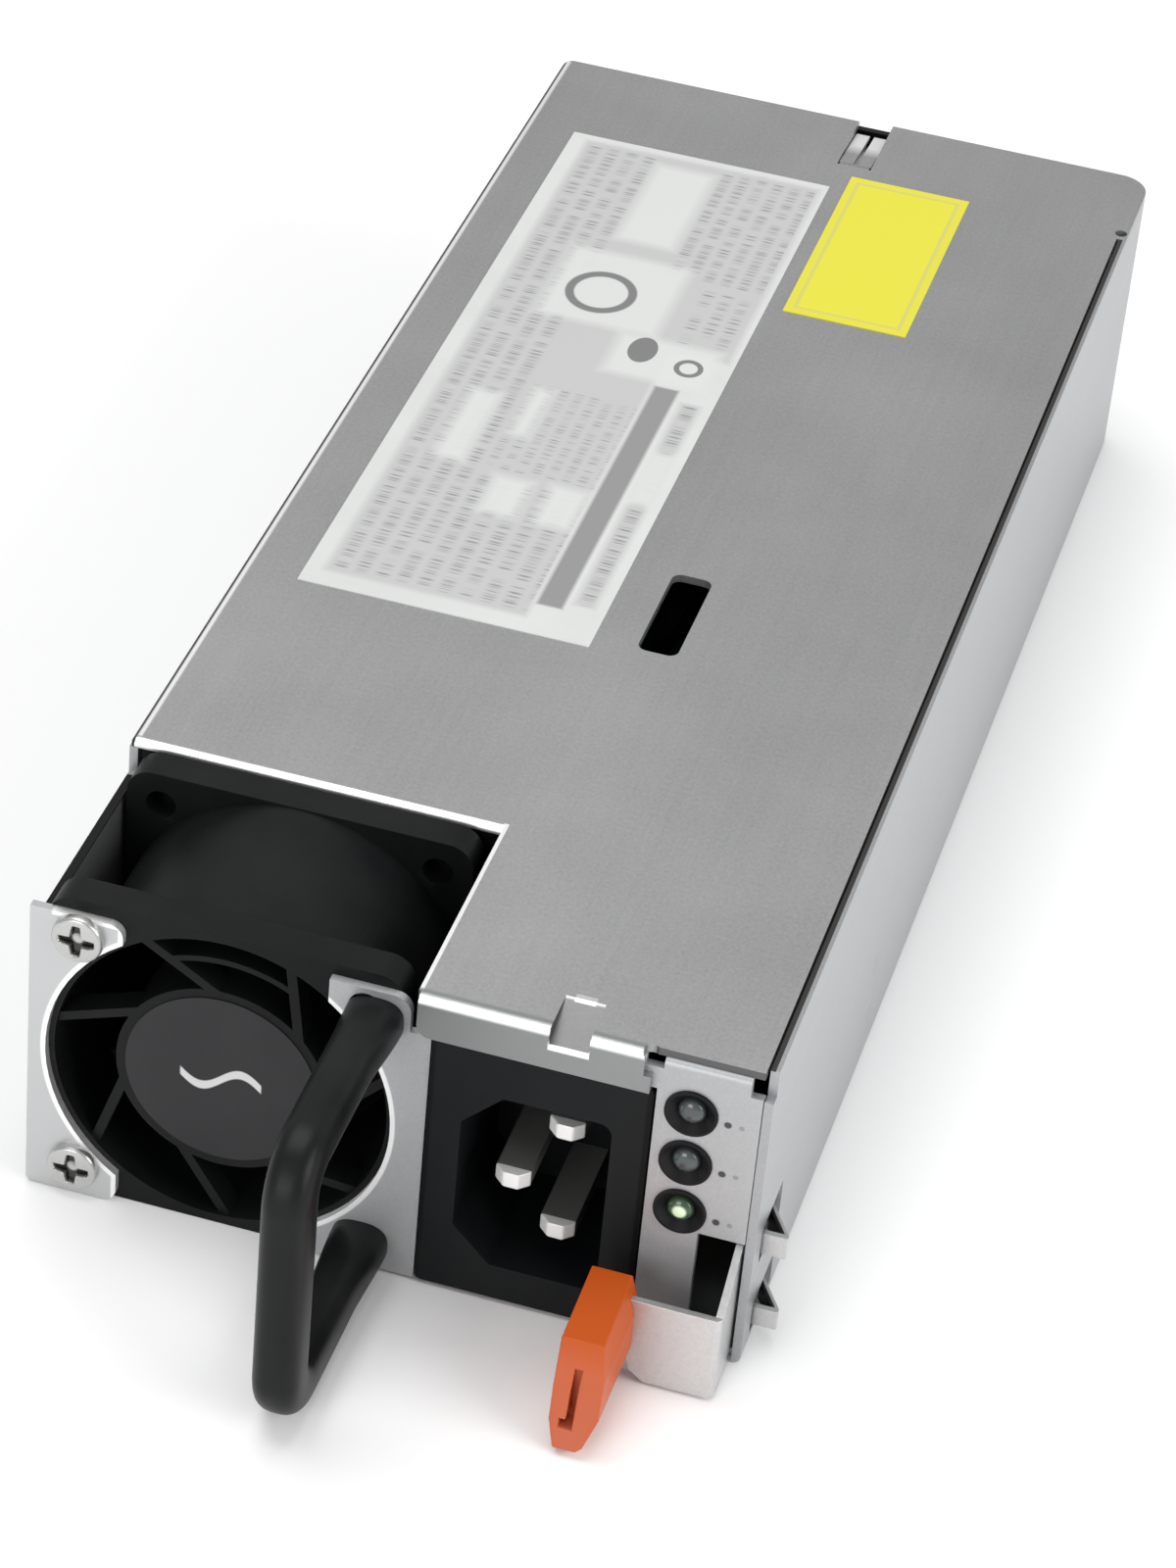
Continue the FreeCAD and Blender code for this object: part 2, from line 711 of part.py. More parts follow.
def fan_solid(body):
    """Fan parts are drawn about the fan's axis, with their front face at zero."""
    place(body, fan_across, fan_front, fan_middle)
    return body


def make_fan_frame():
    """Square flanges, a round duct between them, and a motor base on seven swept struts."""
    body = fan_solid(new_body("fan_frame"))
    half = size["fan_size"] / 2
    depth = size["fan_depth"]
    flange = size["fan_flange"]
    duct = size["duct_radius"]
    hub = size["hub_radius"]
    square = (-half, half)
    wide = (-half - 2, half + 2)
    pad(body, "XZ", (0, depth), rectangle(square, square, 3))
    pocket(body, "XZ", (0, depth), (0, 0, duct))
    pocket(body, "XZ", (flange, depth - flange), rectangle(wide, wide), (0, 0, half - 0.15))
    holes = [(u * half_pitch, v * half_pitch, 1.75) for u in (-1, 1) for v in (-1, 1)]
    pocket(body, "XZ", (0, depth), *holes)
    start = math.radians(90)
    sweep = math.radians(30)
    inner = hub - 1
    outer = duct + 0.5
    half_strut = 0.55
    from_point = (inner * math.cos(start), inner * math.sin(start))
    to_point = (outer * math.cos(start + sweep), outer * math.sin(start + sweep))
    lean = math.atan2(to_point[1].number - from_point[1].number, to_point[0].number - from_point[0].number)
    aside = (-half_strut * math.sin(lean), half_strut * math.cos(lean))
    strut = pad(body, "XZ", motor_base, [
        (from_point[0] - aside[0], from_point[1] - aside[1]),
        (to_point[0] - aside[0], to_point[1] - aside[1]),
        (to_point[0] + aside[0], to_point[1] + aside[1]),
        (from_point[0] + aside[0], from_point[1] + aside[1])])
    doc.recompute()
    round_about(body, strut, "Y", 7)
    pad(body, "XZ", motor_base, (0, 0, hub))
    lead_channel(body)
    pad(body, "XZ", (motor_base[1], 8), (0, 0, hub), (0, 0, hub - 0.8))
    pad(body, "XZ", (motor_base[1], 21), (0, 0, 5.2), (0, 0, bearing_radius))
    return body


def lead_channel(body):
    """An arc between two struts that guides the motor's lead round the hub."""
    radii = (15.7, 16.4)
    first, last = math.radians(60), math.radians(114)
    sketch = new_sketch(body, "XZ", motor_base[1])
    rules = []
    arcs = []
    for radius in radii:
        circle_of_arc = Part.Circle(Vector(0, 0, 0), Vector(0, 0, 1), radius)
        arc = sketch.addGeometry(Part.ArcOfCircle(circle_of_arc, first, last))
        arcs.append(arc)
        rules.append(("Coincident", (arc, 3, -1, 1), None))
        rules.append(("Radius", (arc,), radius))
        rules.append(("DistanceX", (-1, 1, arc, 1), radius * math.cos(first)))
        rules.append(("DistanceX", (-1, 1, arc, 2), radius * math.cos(last)))
    for end in (1, 2):
        near, far = [sketch.getPoint(arc, end) for arc in arcs]
        closing = sketch.addGeometry(Part.LineSegment(near, far))
        rules.append(("Coincident", (arcs[0], end, closing, 1), None))
        rules.append(("Coincident", (arcs[1], end, closing, 2), None))
    add_constraints(sketch, rules)
    channel = body.newObject("PartDesign::Pad", "lead_channel")
    channel.Profile = sketch
    bind(channel, "Length", motor_base[1] - motor_base[0])


def make_fan_impeller():
    """A cup turned about the fan's axis, with five twisted blades trimmed to the duct."""
    body = fan_solid(new_body("fan_impeller"))
    cup = size["hub_radius"] - 0.3
    shaft = size["shaft_radius"]
    profile = new_sketch(body, "YZ", 0)
    outline(profile, [(9, cup - 1), (9, cup), (24.8, cup), (26, cup - 1.2), (26, shaft), (22, shaft),
                      (22, 3.2), (25, 3.2), (25, cup - 1)])
    turned = body.newObject("PartDesign::Revolution", "impeller_cup")
    turned.Profile = profile
    turned.ReferenceAxis = (origin_part(body, "Y_Axis"), [""])
    turned.Angle = 360
    half_blade = 0.5
    sections = []
    for height, reach in ((cup - 2, 5), (size["tip_radius"] + 0.4, 8.4)):
        section = new_sketch(body, "XY", height)
        outline(section, [(-reach - half_blade, 24), (-reach + half_blade, 24),
                          (reach + half_blade, 10.5), (reach - half_blade, 10.5)])
        sections.append(section)
    blade = body.newObject("PartDesign::AdditiveLoft", "impeller_blade")
    blade.Profile = sections[0]
    blade.Sections = [sections[1]]
    blade.Ruled = True
    doc.recompute()
    round_about(body, blade, "Y", 5)
    pocket(body, "XZ", (9.5, 25), (0, 0, size["tip_radius"] + 4), (0, 0, size["tip_radius"]))
    pocket(body, "XZ", (9, 22), (0, 0, cup - 1))
    pocket(body, "XZ", (22, 25), (0, 0, cup - 1), (0, 0, 3.2))
    return body


def fan_ring(name, span, outer, inner):
    """A ring about the fan's axis; span is measured back from the fan's front face."""
    return tube(name, "y", (fan_across, fan_middle), (fan_front + span[0], fan_front + span[1]), outer, inner)


def make_fan_motor():
    """Shaft, bearings, magnet ring, stator, windings and drive board."""
    centre = (fan_across, fan_middle)
    shaft = size["shaft_radius"]
    piece("fan_shaft", rod("fan_shaft", "y", centre, (fan_front + 4, fan_front + 25.6), shaft))
    bore = shaft + size["shaft_play"]
    piece("fan_bearings", group("fan_bearings", [
        fan_ring("fan_bearing_front", (4.5, 7.5), bearing_radius, bore),
        fan_ring("fan_bearing_rear", (17.5, 20.5), bearing_radius, bore)]))
    cup_inside = size["hub_radius"] - 1.3
    piece("fan_magnet_ring", fan_ring("fan_magnet_ring", (11, 23), cup_inside, cup_inside - 0.9))
    piece("fan_drive_board", fan_ring("fan_drive_board", (6.4, 7.4), size["hub_radius"] - 0.85, 5.25))
    core = fan_solid(new_body("fan_stator_core"))
    pad(core, "XZ", (11, 19), rectangle((-8.5, 8.5), (-1.2, 1.2)))
    pad(core, "XZ", (11, 19), rectangle((-1.2, 1.2), (-8.5, 8.5)))
    pad(core, "XZ", (11, 19), (0, 0, 6.3))
    shoe = pad(core, "XZ", (11, 19), rectangle((8, 8.5), (-2.4, 2.4)))
    doc.recompute()
    round_about(core, shoe, "Y", 4)
    pocket(core, "XZ", (11, 19), (0, 0, 5.25))
    coils = []
    near, far, low, high = 6.5, 7.9, 1.3, 2.4
    for side in (-1, 1):
        for hand in (-1, 1):
            reach = sorted((side * near, side * far))
            spread = sorted((hand * low, hand * high))
            depth = (fan_front + 10.6, fan_front + 19.4)
            label = "coil_%d" % len(coils)
            coils.append(box(label, (fan_across + reach[0], fan_across + reach[1]), depth,
                             (fan_middle + spread[0], fan_middle + spread[1])))
            coils.append(box(label + "_upright", (fan_across + spread[0], fan_across + spread[1]), depth,
                             (fan_middle + reach[0], fan_middle + reach[1])))
    piece("fan_windings", group("fan_windings", coils))


def make_fan_lead():
    """The fan's lead, from its front flange back to a socket on the main board."""
    body = new_body("fan_lead")
    lead_across = across(44)
    lead_height = 9
    flange_side = across(size["fan_left"] + size["fan_size"])
    exit_back = back(3.6)
    socket_back = back(33.4)
    route = new_sketch(body, "XY", lead_height)
    outline(route, [(flange_side, exit_back), (lead_across, exit_back, 2), (lead_across, socket_back)],
            closed=False)
    section = new_sketch(body, "YZ", flange_side)
    circle(section, exit_back, lead_height, 0.9)
    pipe = body.newObject("PartDesign::AdditivePipe", "lead_pipe")
    pipe.Profile = section
    pipe.Spine = route
    pipe.Mode = "Standard"
    piece("fan_socket", box("fan_socket", (lead_across - 2.6, lead_across + 2.6),
                            (socket_back, socket_back + 4.5), (board_top, lead_height + 2.4)))


def make_fan_label():
    base_front = fan_front + motor_base[0]
    disc = rod("hub_label", "y", (fan_across, fan_middle),
               (base_front - size["label_thick"], base_front), size["hub_radius"] - 1.1)
    piece("hub_label", disc)


# ---- mains inlet ----

inlet_front = front - 0.2
socket_right = across(size["socket_left"] + size["socket_width"])
pair_across = socket_right - 5.7
earth_across = pair_across - size["blade_offset"]


def blade_places():
    """Name, x and z of the middle of each contact blade, and how far back its tip stands."""
    half = size["blade_pitch"] / 2
    middle = size["socket_middle"]
    return [("line_blade", pair_across, middle + half, 2.6),
            ("neutral_blade", pair_across, middle - half, 2.6),
            ("earth_blade", earth_across, middle, 0.9)]


def make_inlet_housing():
    """Moulded inlet: a flange and a deep socket, chamfered on its earth side."""
    body = new_body("inlet_housing")
    flange = (across(size["inlet_left"]) + 0.15, across(size["inlet_right"]))
    pad(body, "XZ", (inlet_front, front + sheet), rectangle(flange, (0.5, size["inlet_top"]), 0.8))
    socket_left = across(size["socket_left"])
    low = size["socket_middle"] - size["socket_height"] / 2
    high = low + size["socket_height"]
    floor = inlet_front + size["socket_depth"]
    pad(body, "XZ", (front + sheet, floor + 4), rectangle((socket_left - 1.8, socket_right + 1.5),
                                                         (low - 2, high + 2)))
    chamfer = 4.4
    pocket(body, "XZ", (inlet_front, floor), [
        (socket_left + chamfer, low), (socket_right, low, 1.5), (socket_right, high, 1.5),
        (socket_left + chamfer, high), (socket_left, high - chamfer), (socket_left, low + chamfer)])
    half_width = size["blade_width"] / 2
    half_thick = size["blade_thick"] / 2
    slots = [rectangle((x - half_width, x + half_width), (z - half_thick, z + half_thick))
             for _, x, z, _ in blade_places()]
    pocket(body, "XZ", (floor, floor + 4), *slots)
    return body


def make_inlet_blades():
    half_width = size["blade_width"] / 2
    half_thick = size["blade_thick"] / 2
    tail = back(24.6)
    taper = 1.1
    for name, x, z, tip_back in blade_places():
        body = new_body(name)
        tip = inlet_front + tip_back
        pad(body, "XY", (z - half_thick, z + half_thick), [
            (x - half_width + taper, tip), (x + half_width - taper, tip), (x + half_width, tip + taper),
            (x + half_width, tail), (x - half_width, tail), (x - half_width, tip + taper)])


def make_inlet_board():
    """Small upright board that the blades' tails pass through."""
    body = new_body("inlet_board")
    half_width = size["blade_width"] / 2
    half_thick = size["blade_thick"] / 2
    slots = [rectangle((x - half_width, x + half_width), (z - half_thick, z + half_thick))
             for _, x, z, _ in blade_places()]
    pad(body, "XZ", (back(21.8), back(23.4)), rectangle((across(46), across(68)), (6.4, 33)), *slots)
    return body


# ---- status lamps ----

def cone(name, centre, span, front_radius, back_radius):
    """A cone frustum along Y, between the two places of span."""
    feature = doc.addObject("Part::Cone", name)
    bind(feature, "Radius1", front_radius)
    bind(feature, "Radius2", back_radius)
    bind(feature, "Height", span[1] - span[0])
    feature.Placement = Placement(Vector(), Rotation(Vector(1, 0, 0), -90))
    for axis, value in zip("xyz", (centre[0], span[0], centre[1])):
        bind(feature, "Placement.Base." + axis, value)
    return feature


def make_lamps():
    """Three light pipes in dark collars, and the small board with their emitters."""
    collars = []
    emitters = []
    lens_radius = 1.5
    x = across(size["lamp_across"])
    names = ("status_lens_lower", "status_lens_middle", "status_lens_upper")
    for number, name in enumerate(names):
        z = size["lamp_low"] + number * size["lamp_pitch"]
        pipe = rod(name + "_pipe", "y", (x, z), (front + 0.4, back(13)), lens_radius)
        nose = cone(name + "_nose", (x, z), (front - 0.4, front + 0.4), lens_radius - 0.5, lens_radius)
        piece(name, fuse(name, [pipe, nose]))
        sleeve = rod(name + "_sleeve", "y", (x, z), (front - 0.3, back(2.6)), size["lamp_hole"])
        bore = rod(name + "_bore", "y", (x, z), (front - 0.3, back(2.6)), lens_radius)
        mouth = cone(name + "_mouth", (x, z), (front - 0.3, front + 0.7),
                     size["lamp_hole"] - 0.3, lens_radius)
        collars.append(cut(name + "_collar", sleeve, [bore, mouth]))
        emitters.append(box(name + "_emitter", (x - 1.2, x + 1.2), (back(13), back(14)), (z - 0.8, z + 0.8)))
    piece("lamp_collars", group("lamp_collars", collars))
    piece("lamp_emitters", group("lamp_emitters", emitters))
    piece("lamp_board", box("lamp_board", (across(70.2), across(75.6)), (back(14), back(15.2)), (6.4, 36)))


# ---- latch ----

leaf_outside = right - sheet - size["leaf_play"]
leaf_inside = leaf_outside - size["leaf_thick"]
core_left = across(size["tab_left"]) - 2.4
core_span = (front - size["tab_back"] - 8, front - size["tab_back"])
core_heights = (3.6, 10.5)
tab_low = 0.3


def make_latch_spring():
    """Spring steel leaf along the right wall, with two hooks and a bent front tab."""
    body = new_body("latch_spring")
    pivot = size["leaf_pivot"]
    tab_rear = front - size["tab_back"]
    tab_front = tab_rear - size["leaf_thick"]
    tab_left = across(size["tab_left"])
    leaf_top = size["gate_top"] - 0.5
    rivets = [(back(pivot), height, rivet_radius + 0.35) for height in rivet_heights]
    pad(body, "YZ", (leaf_inside, leaf_outside), [
        (back(pivot + 3.4), 3.2), (back(pivot + 3.4), 15.8), (back(16), leaf_top), (back(0.5), leaf_top),
        (front - 2.2, 14.2), (tab_rear, size["tab_top"]), (tab_front, size["tab_top"]), (tab_front, tab_low),
        (front - 0.7, tab_low), (front - 0.7, 1.5), (back(16), 1.5), (back(22), 3.2)], *rivets)
    hook_front = size["hook_back"]
    hook_rear = hook_front + size["hook_length"]
    wall = 0.7
    for low, high in hook_heights:
        pocket(body, "YZ", (leaf_inside, leaf_outside),
               rectangle((back(hook_front - 0.3), back(hook_rear)), (low, high)))
        apex = right + size["hook_reach"]
        pad(body, "XY", (low, high), [
            (leaf_inside, back(hook_rear + 0.6)), (leaf_outside, back(hook_rear + 0.6)),
            (leaf_outside, back(hook_rear)), (apex, back(hook_front + 0.6)), (apex, back(hook_front)),
            (leaf_inside, back(hook_front)), (leaf_inside, back(hook_front + wall)),
            (apex - 0.9, back(hook_front + wall)), (leaf_inside, back(hook_rear - 0.1))])
    pad(body, "XZ", (tab_front, tab_rear), [
        (core_left, core_heights[0]), (tab_left + 0.1, core_heights[0]), (tab_left + 0.7, 1.6),
        (tab_left + 2.4, tab_low), (leaf_outside, tab_low), (leaf_outside, size["tab_top"]),
        (core_left, size["tab_top"])])
    pad(body, "YZ", (core_left, core_left + size["leaf_thick"]), rectangle(core_span, core_heights))
    round_edges(body, 0.75, runs("z", x=leaf_outside, y=tab_front))
    return body


def make_latch_grip():
    """Moulded finger pad pushed over the tab's end, with a snap groove in its front."""
    body = new_body("latch_grip")
    grip_left = across(size["grip_left"])
    grip_right = grip_left + size["grip_width"]
    grip_top = size["grip_top"]
    bulge = 0.7
    tab_rear = front - size["tab_back"]
    tab_front = tab_rear - size["leaf_thick"]
    pad(body, "YZ", (grip_left, grip_right + bulge), [
        (front - 5, 2), (front - 5, grip_top), (front - 16.4, grip_top - 0.5), (front - 18.6, 8),
        (front - 20.3, 0.9), (front - 19.6, 0.3), (front - 9, 0.3)])
    outside = rectangle((grip_left - 2, grip_right + 4), (-1, grip_top + 2))
    pocket(body, "XZ", (front - 21, front - 5), outside, [
        (grip_left + 0.2, grip_top + 0.5), (grip_right - 0.4, grip_top + 0.5), (grip_right + bulge, 9.5),
        (grip_right + bulge, 5), (grip_right - 0.6, 1.4), (grip_right - 2, 0.1), (grip_left + 1.4, 0.1),
        (grip_left + 0.4, 4)])
    pocket(body, "XZ", (front - 21, front - 17.2),
           [(grip_left + 1.5, 3.2), (grip_left + 3, 3.2), (grip_left + 3.1, 10),
            (grip_left + 2.3, 10), (grip_left + 2.2, 4.3), (grip_left + 1.5, 4.3)])
    pocket(body, "XZ", (tab_front, tab_rear), rectangle((core_left, grip_right + 1), (0, size["tab_top"])))
    pocket(body, "YZ", (core_left, core_left + size["leaf_thick"]), rectangle(core_span, core_heights))
    return body


def make_latch_rivets():
    made = []
    inner_head = leaf_inside - size["leaf_play"]
    for number, height in enumerate(rivet_heights):
        name = "latch_rivet_%d" % (number + 1)
        centre = (back(size["leaf_pivot"]), height)
        made.append(fuse(name, [rod(name + "_shank", "x", centre, (inner_head - 0.5, right), rivet_radius),
                                rod(name + "_head", "x", centre, (inner_head - 0.9, inner_head), 2.4)]))
    piece("latch_rivets", group("latch_rivets", made))


# ---- boards and what stands on them ----

board_top = size["board_bottom"] + size["board_thick"]
post_places = [(7, 38), (7, 190), (46, 120), (71, 34), (71, 190)]


def make_main_board():
    """Main circuit board; its rear tongue is the card edge that plugs into the server."""
    body = new_body("main_board")
    edge_left = across(size["edge_left"])
    edge_right = edge_left + size["edge_width"]
    board_rear = back(196)
    holes = [(across(x), back(y), 1.6) for x, y in post_places]
    pad(body, "XY", (size["board_bottom"], board_top), [
        (across(3), back(33)), (across(45), back(33)), (across(45), back(25)), (across(75), back(25)),
        (across(75), board_rear), (edge_right, board_rear), (edge_right, rear + size["edge_reach"]),
        (edge_left, rear + size["edge_reach"]), (edge_left, board_rear), (across(3), board_rear)], *holes)
    round_edges(body, 0.4, runs("x", y=rear + size["edge_reach"], z=board_top),
                runs("x", y=rear + size["edge_reach"], z=size["board_bottom"]), kind="Chamfer")
    return body


def make_edge_contacts():
    """Gold pads on both faces of the card edge: wide ones for power, narrow ones for signals."""
    pads = []
    gap = 0.6
    widths = [5.6] * 3 + [1.2] * 9 + [5.6] * 3
    start = 1.1
    for width in widths:
        x = across(size["edge_left"] + start)
        span = (rear + 1, rear + size["edge_reach"] - 0.8)
        thick = 0.08
        pads.append(box("pad_top_%d" % len(pads), (x, x + width - 1.1), span, (board_top, board_top + thick)))
        pads.append(box("pad_low_%d" % len(pads), (x, x + width - 1.1), span,
                        (size["board_bottom"] - thick, size["board_bottom"])))
        start += width - 1.1 + gap + (0.25 if width > 2 else 0.35)
    piece("edge_contacts", group("edge_contacts", pads))


def hexagon_post(name, centre, span):
    """A hexagonal standoff with a plain bore for the screw."""
    bar = doc.addObject("Part::Prism", name + "_bar")
    bar.Polygon = 6
    bind(bar, "Circumradius", 2.9)
    bind(bar, "Height", span[1] - span[0])
    for axis, value in zip("xyz", (centre[0], centre[1], span[0])):
        bind(bar, "Placement.Base." + axis, value)
    return cut(name, bar, [rod(name + "_bore", "z", centre, span, 1.5)])


def make_board_mounting():
    """Insulating sheet under the board, the posts through it, and the board's screws."""
    sheet_body = new_body("insulation_sheet")
    holes = [(across(x), back(y), 3.1) for x, y in post_places]
    pad(sheet_body, "XY", (sheet, sheet + 0.4), [
        (across(2.4), back(31.5)), (across(44), back(31.5)), (across(44), back(24)), (across(75.4), back(24)),
        (across(75.4), back(197)), (across(2.4), back(197))], *holes)
    posts = []
    screws = []
    for number, (x, y) in enumerate(post_places):
        centre = (across(x), back(y))
        posts.append(hexagon_post("post_%d" % number, centre, (sheet, size["board_bottom"])))
        screws.append(screw("board_screw_%d" % number, "z", centre, board_top, (2.7, 1.8),
                            (1.45, board_top - sheet - 0.3), 1))
    piece("board_posts", group("board_posts", posts))
    piece("board_screws", group("board_screws", screws))


def on_board(name, x, y, height, lift=0):
    """A block on the main board: x and y are (low, high) from the left side and the front."""
    return box(name, (across(x[0]), across(x[1])), (back(y[0]), back(y[1])),
               (board_top + lift, board_top + height))


def lying_can(name, x, span, radius):
    return rod(name, "y", (across(x), board_top + radius), (back(span[0]), back(span[1])), radius)


def standing_ring(name, x, y, outer, inner, width):
    """A wound ring standing on edge, its axis along Y."""
    centre = (across(x), board_top + outer)
    return tube(name, "y", centre, (back(y - width / 2), back(y + width / 2)), outer, inner)


def make_input_parts():
    """Line filter, fuse, relay, rectifier and the input choke."""
    piece("line_filter_choke", standing_ring("line_filter_choke", 56, 37.5, 10, 4.5, 11))
    piece("filter_capacitor", on_board("filter_capacitor", (47, 66), (45, 54), 17))
    piece("fuse", rod("fuse", "x", (back(28), board_top + 2.6), (across(58), across(74)), 2.6))
    piece("inrush_relay", on_board("inrush_relay", (47, 59), (56, 72), 15))
    piece("input_choke", standing_ring("input_choke", 20, 44, 14, 6.5, 13))
    piece("bulk_capacitor", lying_can("bulk_capacitor", 60, (76, 128), 14.5))


def finned_sink(name, x, y, height):
    """An upright plate with fins on its left side."""
    body = new_body(name)
    plate = 3
    reach = 9
    pad(body, "XY", (board_top, board_top + height),
        rectangle((across(x), across(x + plate)), (back(y[0]), back(y[1]))))
    fin = pad(body, "XY", (board_top + 3, board_top + height),
              rectangle((across(x - reach), across(x)), (back(y[0]), back(y[0] + 1.2))))
    doc.recompute()
    row = body.newObject("PartDesign::LinearPattern", name + "_fins")
    row.Originals = [fin]
    row.Direction = (origin_part(body, "Y_Axis"), [""])
    row.Length = y[1] - y[0] - 1.2
    row.Occurrences = 8
    body.Tip = row
    return body


def make_power_parts():
    """Switches on their heat sinks, the transformer, the output choke and capacitors."""
    finned_sink("primary_heat_sink", 33, (60, 112), 29)
    transistors = [on_board("transistor_%d" % n, (36, 40.6), (63 + 17 * n, 78.5 + 17 * n), 26, 5)
                   for n in range(3)]
    piece("primary_transistors", group("primary_transistors", transistors))
    core = cut("transformer_core", on_board("transformer_core_block", (8, 40), (118, 148), 30),
               [on_board("transformer_window_left", (12, 17), (118, 148), 26, 4),
                on_board("transformer_window_right", (31, 36), (118, 148), 26, 4)])
    piece("transformer_core", core)
    winding = cut("transformer_winding_ring",
                  on_board("transformer_winding_block", (12.2, 35.8), (114, 152), 25.8, 4.2),
                  [on_board("transformer_limb", (17, 31), (118, 148), 26, 4)])
    piece("transformer_winding", winding)
    finned_sink("output_heat_sink", 33, (156, 192), 26)
    rectifiers = [on_board("rectifier_%d" % n, (36, 40.6), (158 + 11.5 * n, 167.5 + 11.5 * n), 18, 4)
                  for n in range(3)]
    piece("output_rectifiers", group("output_rectifiers", rectifiers))
    piece("output_choke", standing_ring("output_choke", 60, 140, 11, 5, 10))
    cans = []
    for column in range(2):
        for row in range(3):
            centre = (across(53 + 11.6 * column), back(158 + 11 * row))
            cans.append(rod("output_capacitor_%d" % len(cans), "z", centre, (board_top, board_top + 20), 5))
    piece("output_capacitors", group("output_capacitors", cans))
    piece("control_board", on_board("control_board", (43, 44.6), (60, 112), 24))


# ---- labels ----

def make_labels():
    """Plain stuck-on labels on the lid."""
    heights = (top, top + size["label_thick"])
    rating = box("rating_label", (across(7), across(42.3)), (back(66.5), back(180.4)), heights)
    notice = box("notice_label", (across(44.4), across(60.5)), (back(147.4), back(184.2)), heights)
    piece("rating_label", rating)
    piece("notice_label", notice)


def write_parts():
    """Checks every object and every sub-part, then writes one file per sub-part."""
    doc.recompute()
    failed = [thing.Name for thing in doc.Objects if "Invalid" in thing.State or "Error" in thing.State]
    failed += [name for name, feature in pieces.items()
               if feature.Shape.isNull() or not feature.Shape.isValid()]
    if failed:
        raise RuntimeError("failed: " + ", ".join(failed))
    os.makedirs("parts", exist_ok=True)
    for name, feature in pieces.items():
        feature.Shape.exportStep("parts/%s.step" % name)
        print("%-22s %2d solids %8.1f mm3" % (name, len(feature.Shape.Solids), feature.Shape.Volume))


make_base_tray()
make_top_cover()
make_face_plate()
make_rear_grille()
make_cover_screws()
make_handle()
make_handle_screws()
make_fan_frame()
make_fan_impeller()
make_fan_motor()
make_fan_lead()
make_fan_label()
make_fan_screws()
make_inlet_housing()
make_inlet_blades()
make_inlet_board()
make_lamps()
make_latch_spring()
make_latch_grip()
make_latch_rivets()
make_main_board()
make_edge_contacts()
make_board_mounting()
make_input_parts()
make_power_parts()
make_labels()
write_parts()
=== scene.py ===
import math
import bmesh
import bpy
import numpy as np
from mathutils import Matrix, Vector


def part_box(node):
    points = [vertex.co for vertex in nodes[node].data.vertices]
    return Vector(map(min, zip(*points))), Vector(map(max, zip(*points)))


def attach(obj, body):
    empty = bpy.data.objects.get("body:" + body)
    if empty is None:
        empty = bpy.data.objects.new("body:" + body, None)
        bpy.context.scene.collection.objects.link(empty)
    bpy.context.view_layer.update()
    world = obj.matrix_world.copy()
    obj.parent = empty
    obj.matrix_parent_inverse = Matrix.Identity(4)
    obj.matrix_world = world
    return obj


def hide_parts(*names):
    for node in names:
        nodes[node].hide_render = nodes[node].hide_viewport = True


# Looks of a hot swap power supply: finishes for the CAD pieces, labels, screws and soft studio light.

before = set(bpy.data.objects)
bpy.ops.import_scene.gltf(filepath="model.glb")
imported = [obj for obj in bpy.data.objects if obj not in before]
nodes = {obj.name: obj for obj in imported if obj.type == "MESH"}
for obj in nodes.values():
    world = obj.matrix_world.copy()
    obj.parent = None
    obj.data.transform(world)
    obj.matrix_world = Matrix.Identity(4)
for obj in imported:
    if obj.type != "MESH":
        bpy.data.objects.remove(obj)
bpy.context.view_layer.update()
scene = bpy.context.scene


camera = {
    "place": (0.1083499, -0.4933978, 0.3711460),
    "right": (0.95676824, 0.27987506, 0.07914844),
    "up": (-0.22876146, 0.55606702, 0.79903546),
    "ahead": (-0.17961826, 0.78259786, -0.5960519),
    "lens": 115.49,                      # millimetres on a 36 mm sensor
}


def addCamera():
    data = bpy.data.cameras.new("camera")
    data.sensor_width = 36
    data.lens = camera["lens"]
    data.clip_start = 0.01
    eye = bpy.data.objects.new("camera", data)
    scene.collection.objects.link(eye)
    columns = [camera["right"], camera["up"], [-v for v in camera["ahead"]]]
    pose = Matrix(np.array(columns).T.tolist()).to_4x4()
    pose.translation = camera["place"]
    eye.matrix_world = pose
    scene.camera = eye


addCamera()
print("camera placed")


studio = {
    "floorTone": (0.92, 0.92, 0.92),
    "skyTone": (1.0, 1.0, 1.0),
    "skyPower": 0.55,
    "lamps": [  # name, place, aim, size, watts
        ("lampOverhead", (-0.25, 0.10, 1.30), (0, 0, 0.02), 0.9, 9.0),
        ("lampRight", (1.10, -0.35, 0.55), (0.02, 0, 0.02), 0.8, 9.0),
        ("lampFront", (-0.35, -1.20, 0.45), (0, -0.08, 0.02), 0.6, 5.0),
    ],
}


def addLamp(name, place, aim, size, watts):
    data = bpy.data.lights.new(name, "AREA")
    data.shape = "SQUARE"
    data.size = size
    data.energy = watts
    lamp = bpy.data.objects.new(name, data)
    scene.collection.objects.link(lamp)
    back = np.array(place) - np.array(aim)
    back = back / np.linalg.norm(back)
    right = np.cross((0, 0, 1), back)
    right = right / np.linalg.norm(right)
    pose = Matrix(np.array([right, np.cross(back, right), back]).T.tolist()).to_4x4()
    pose.translation = place
    lamp.matrix_world = pose


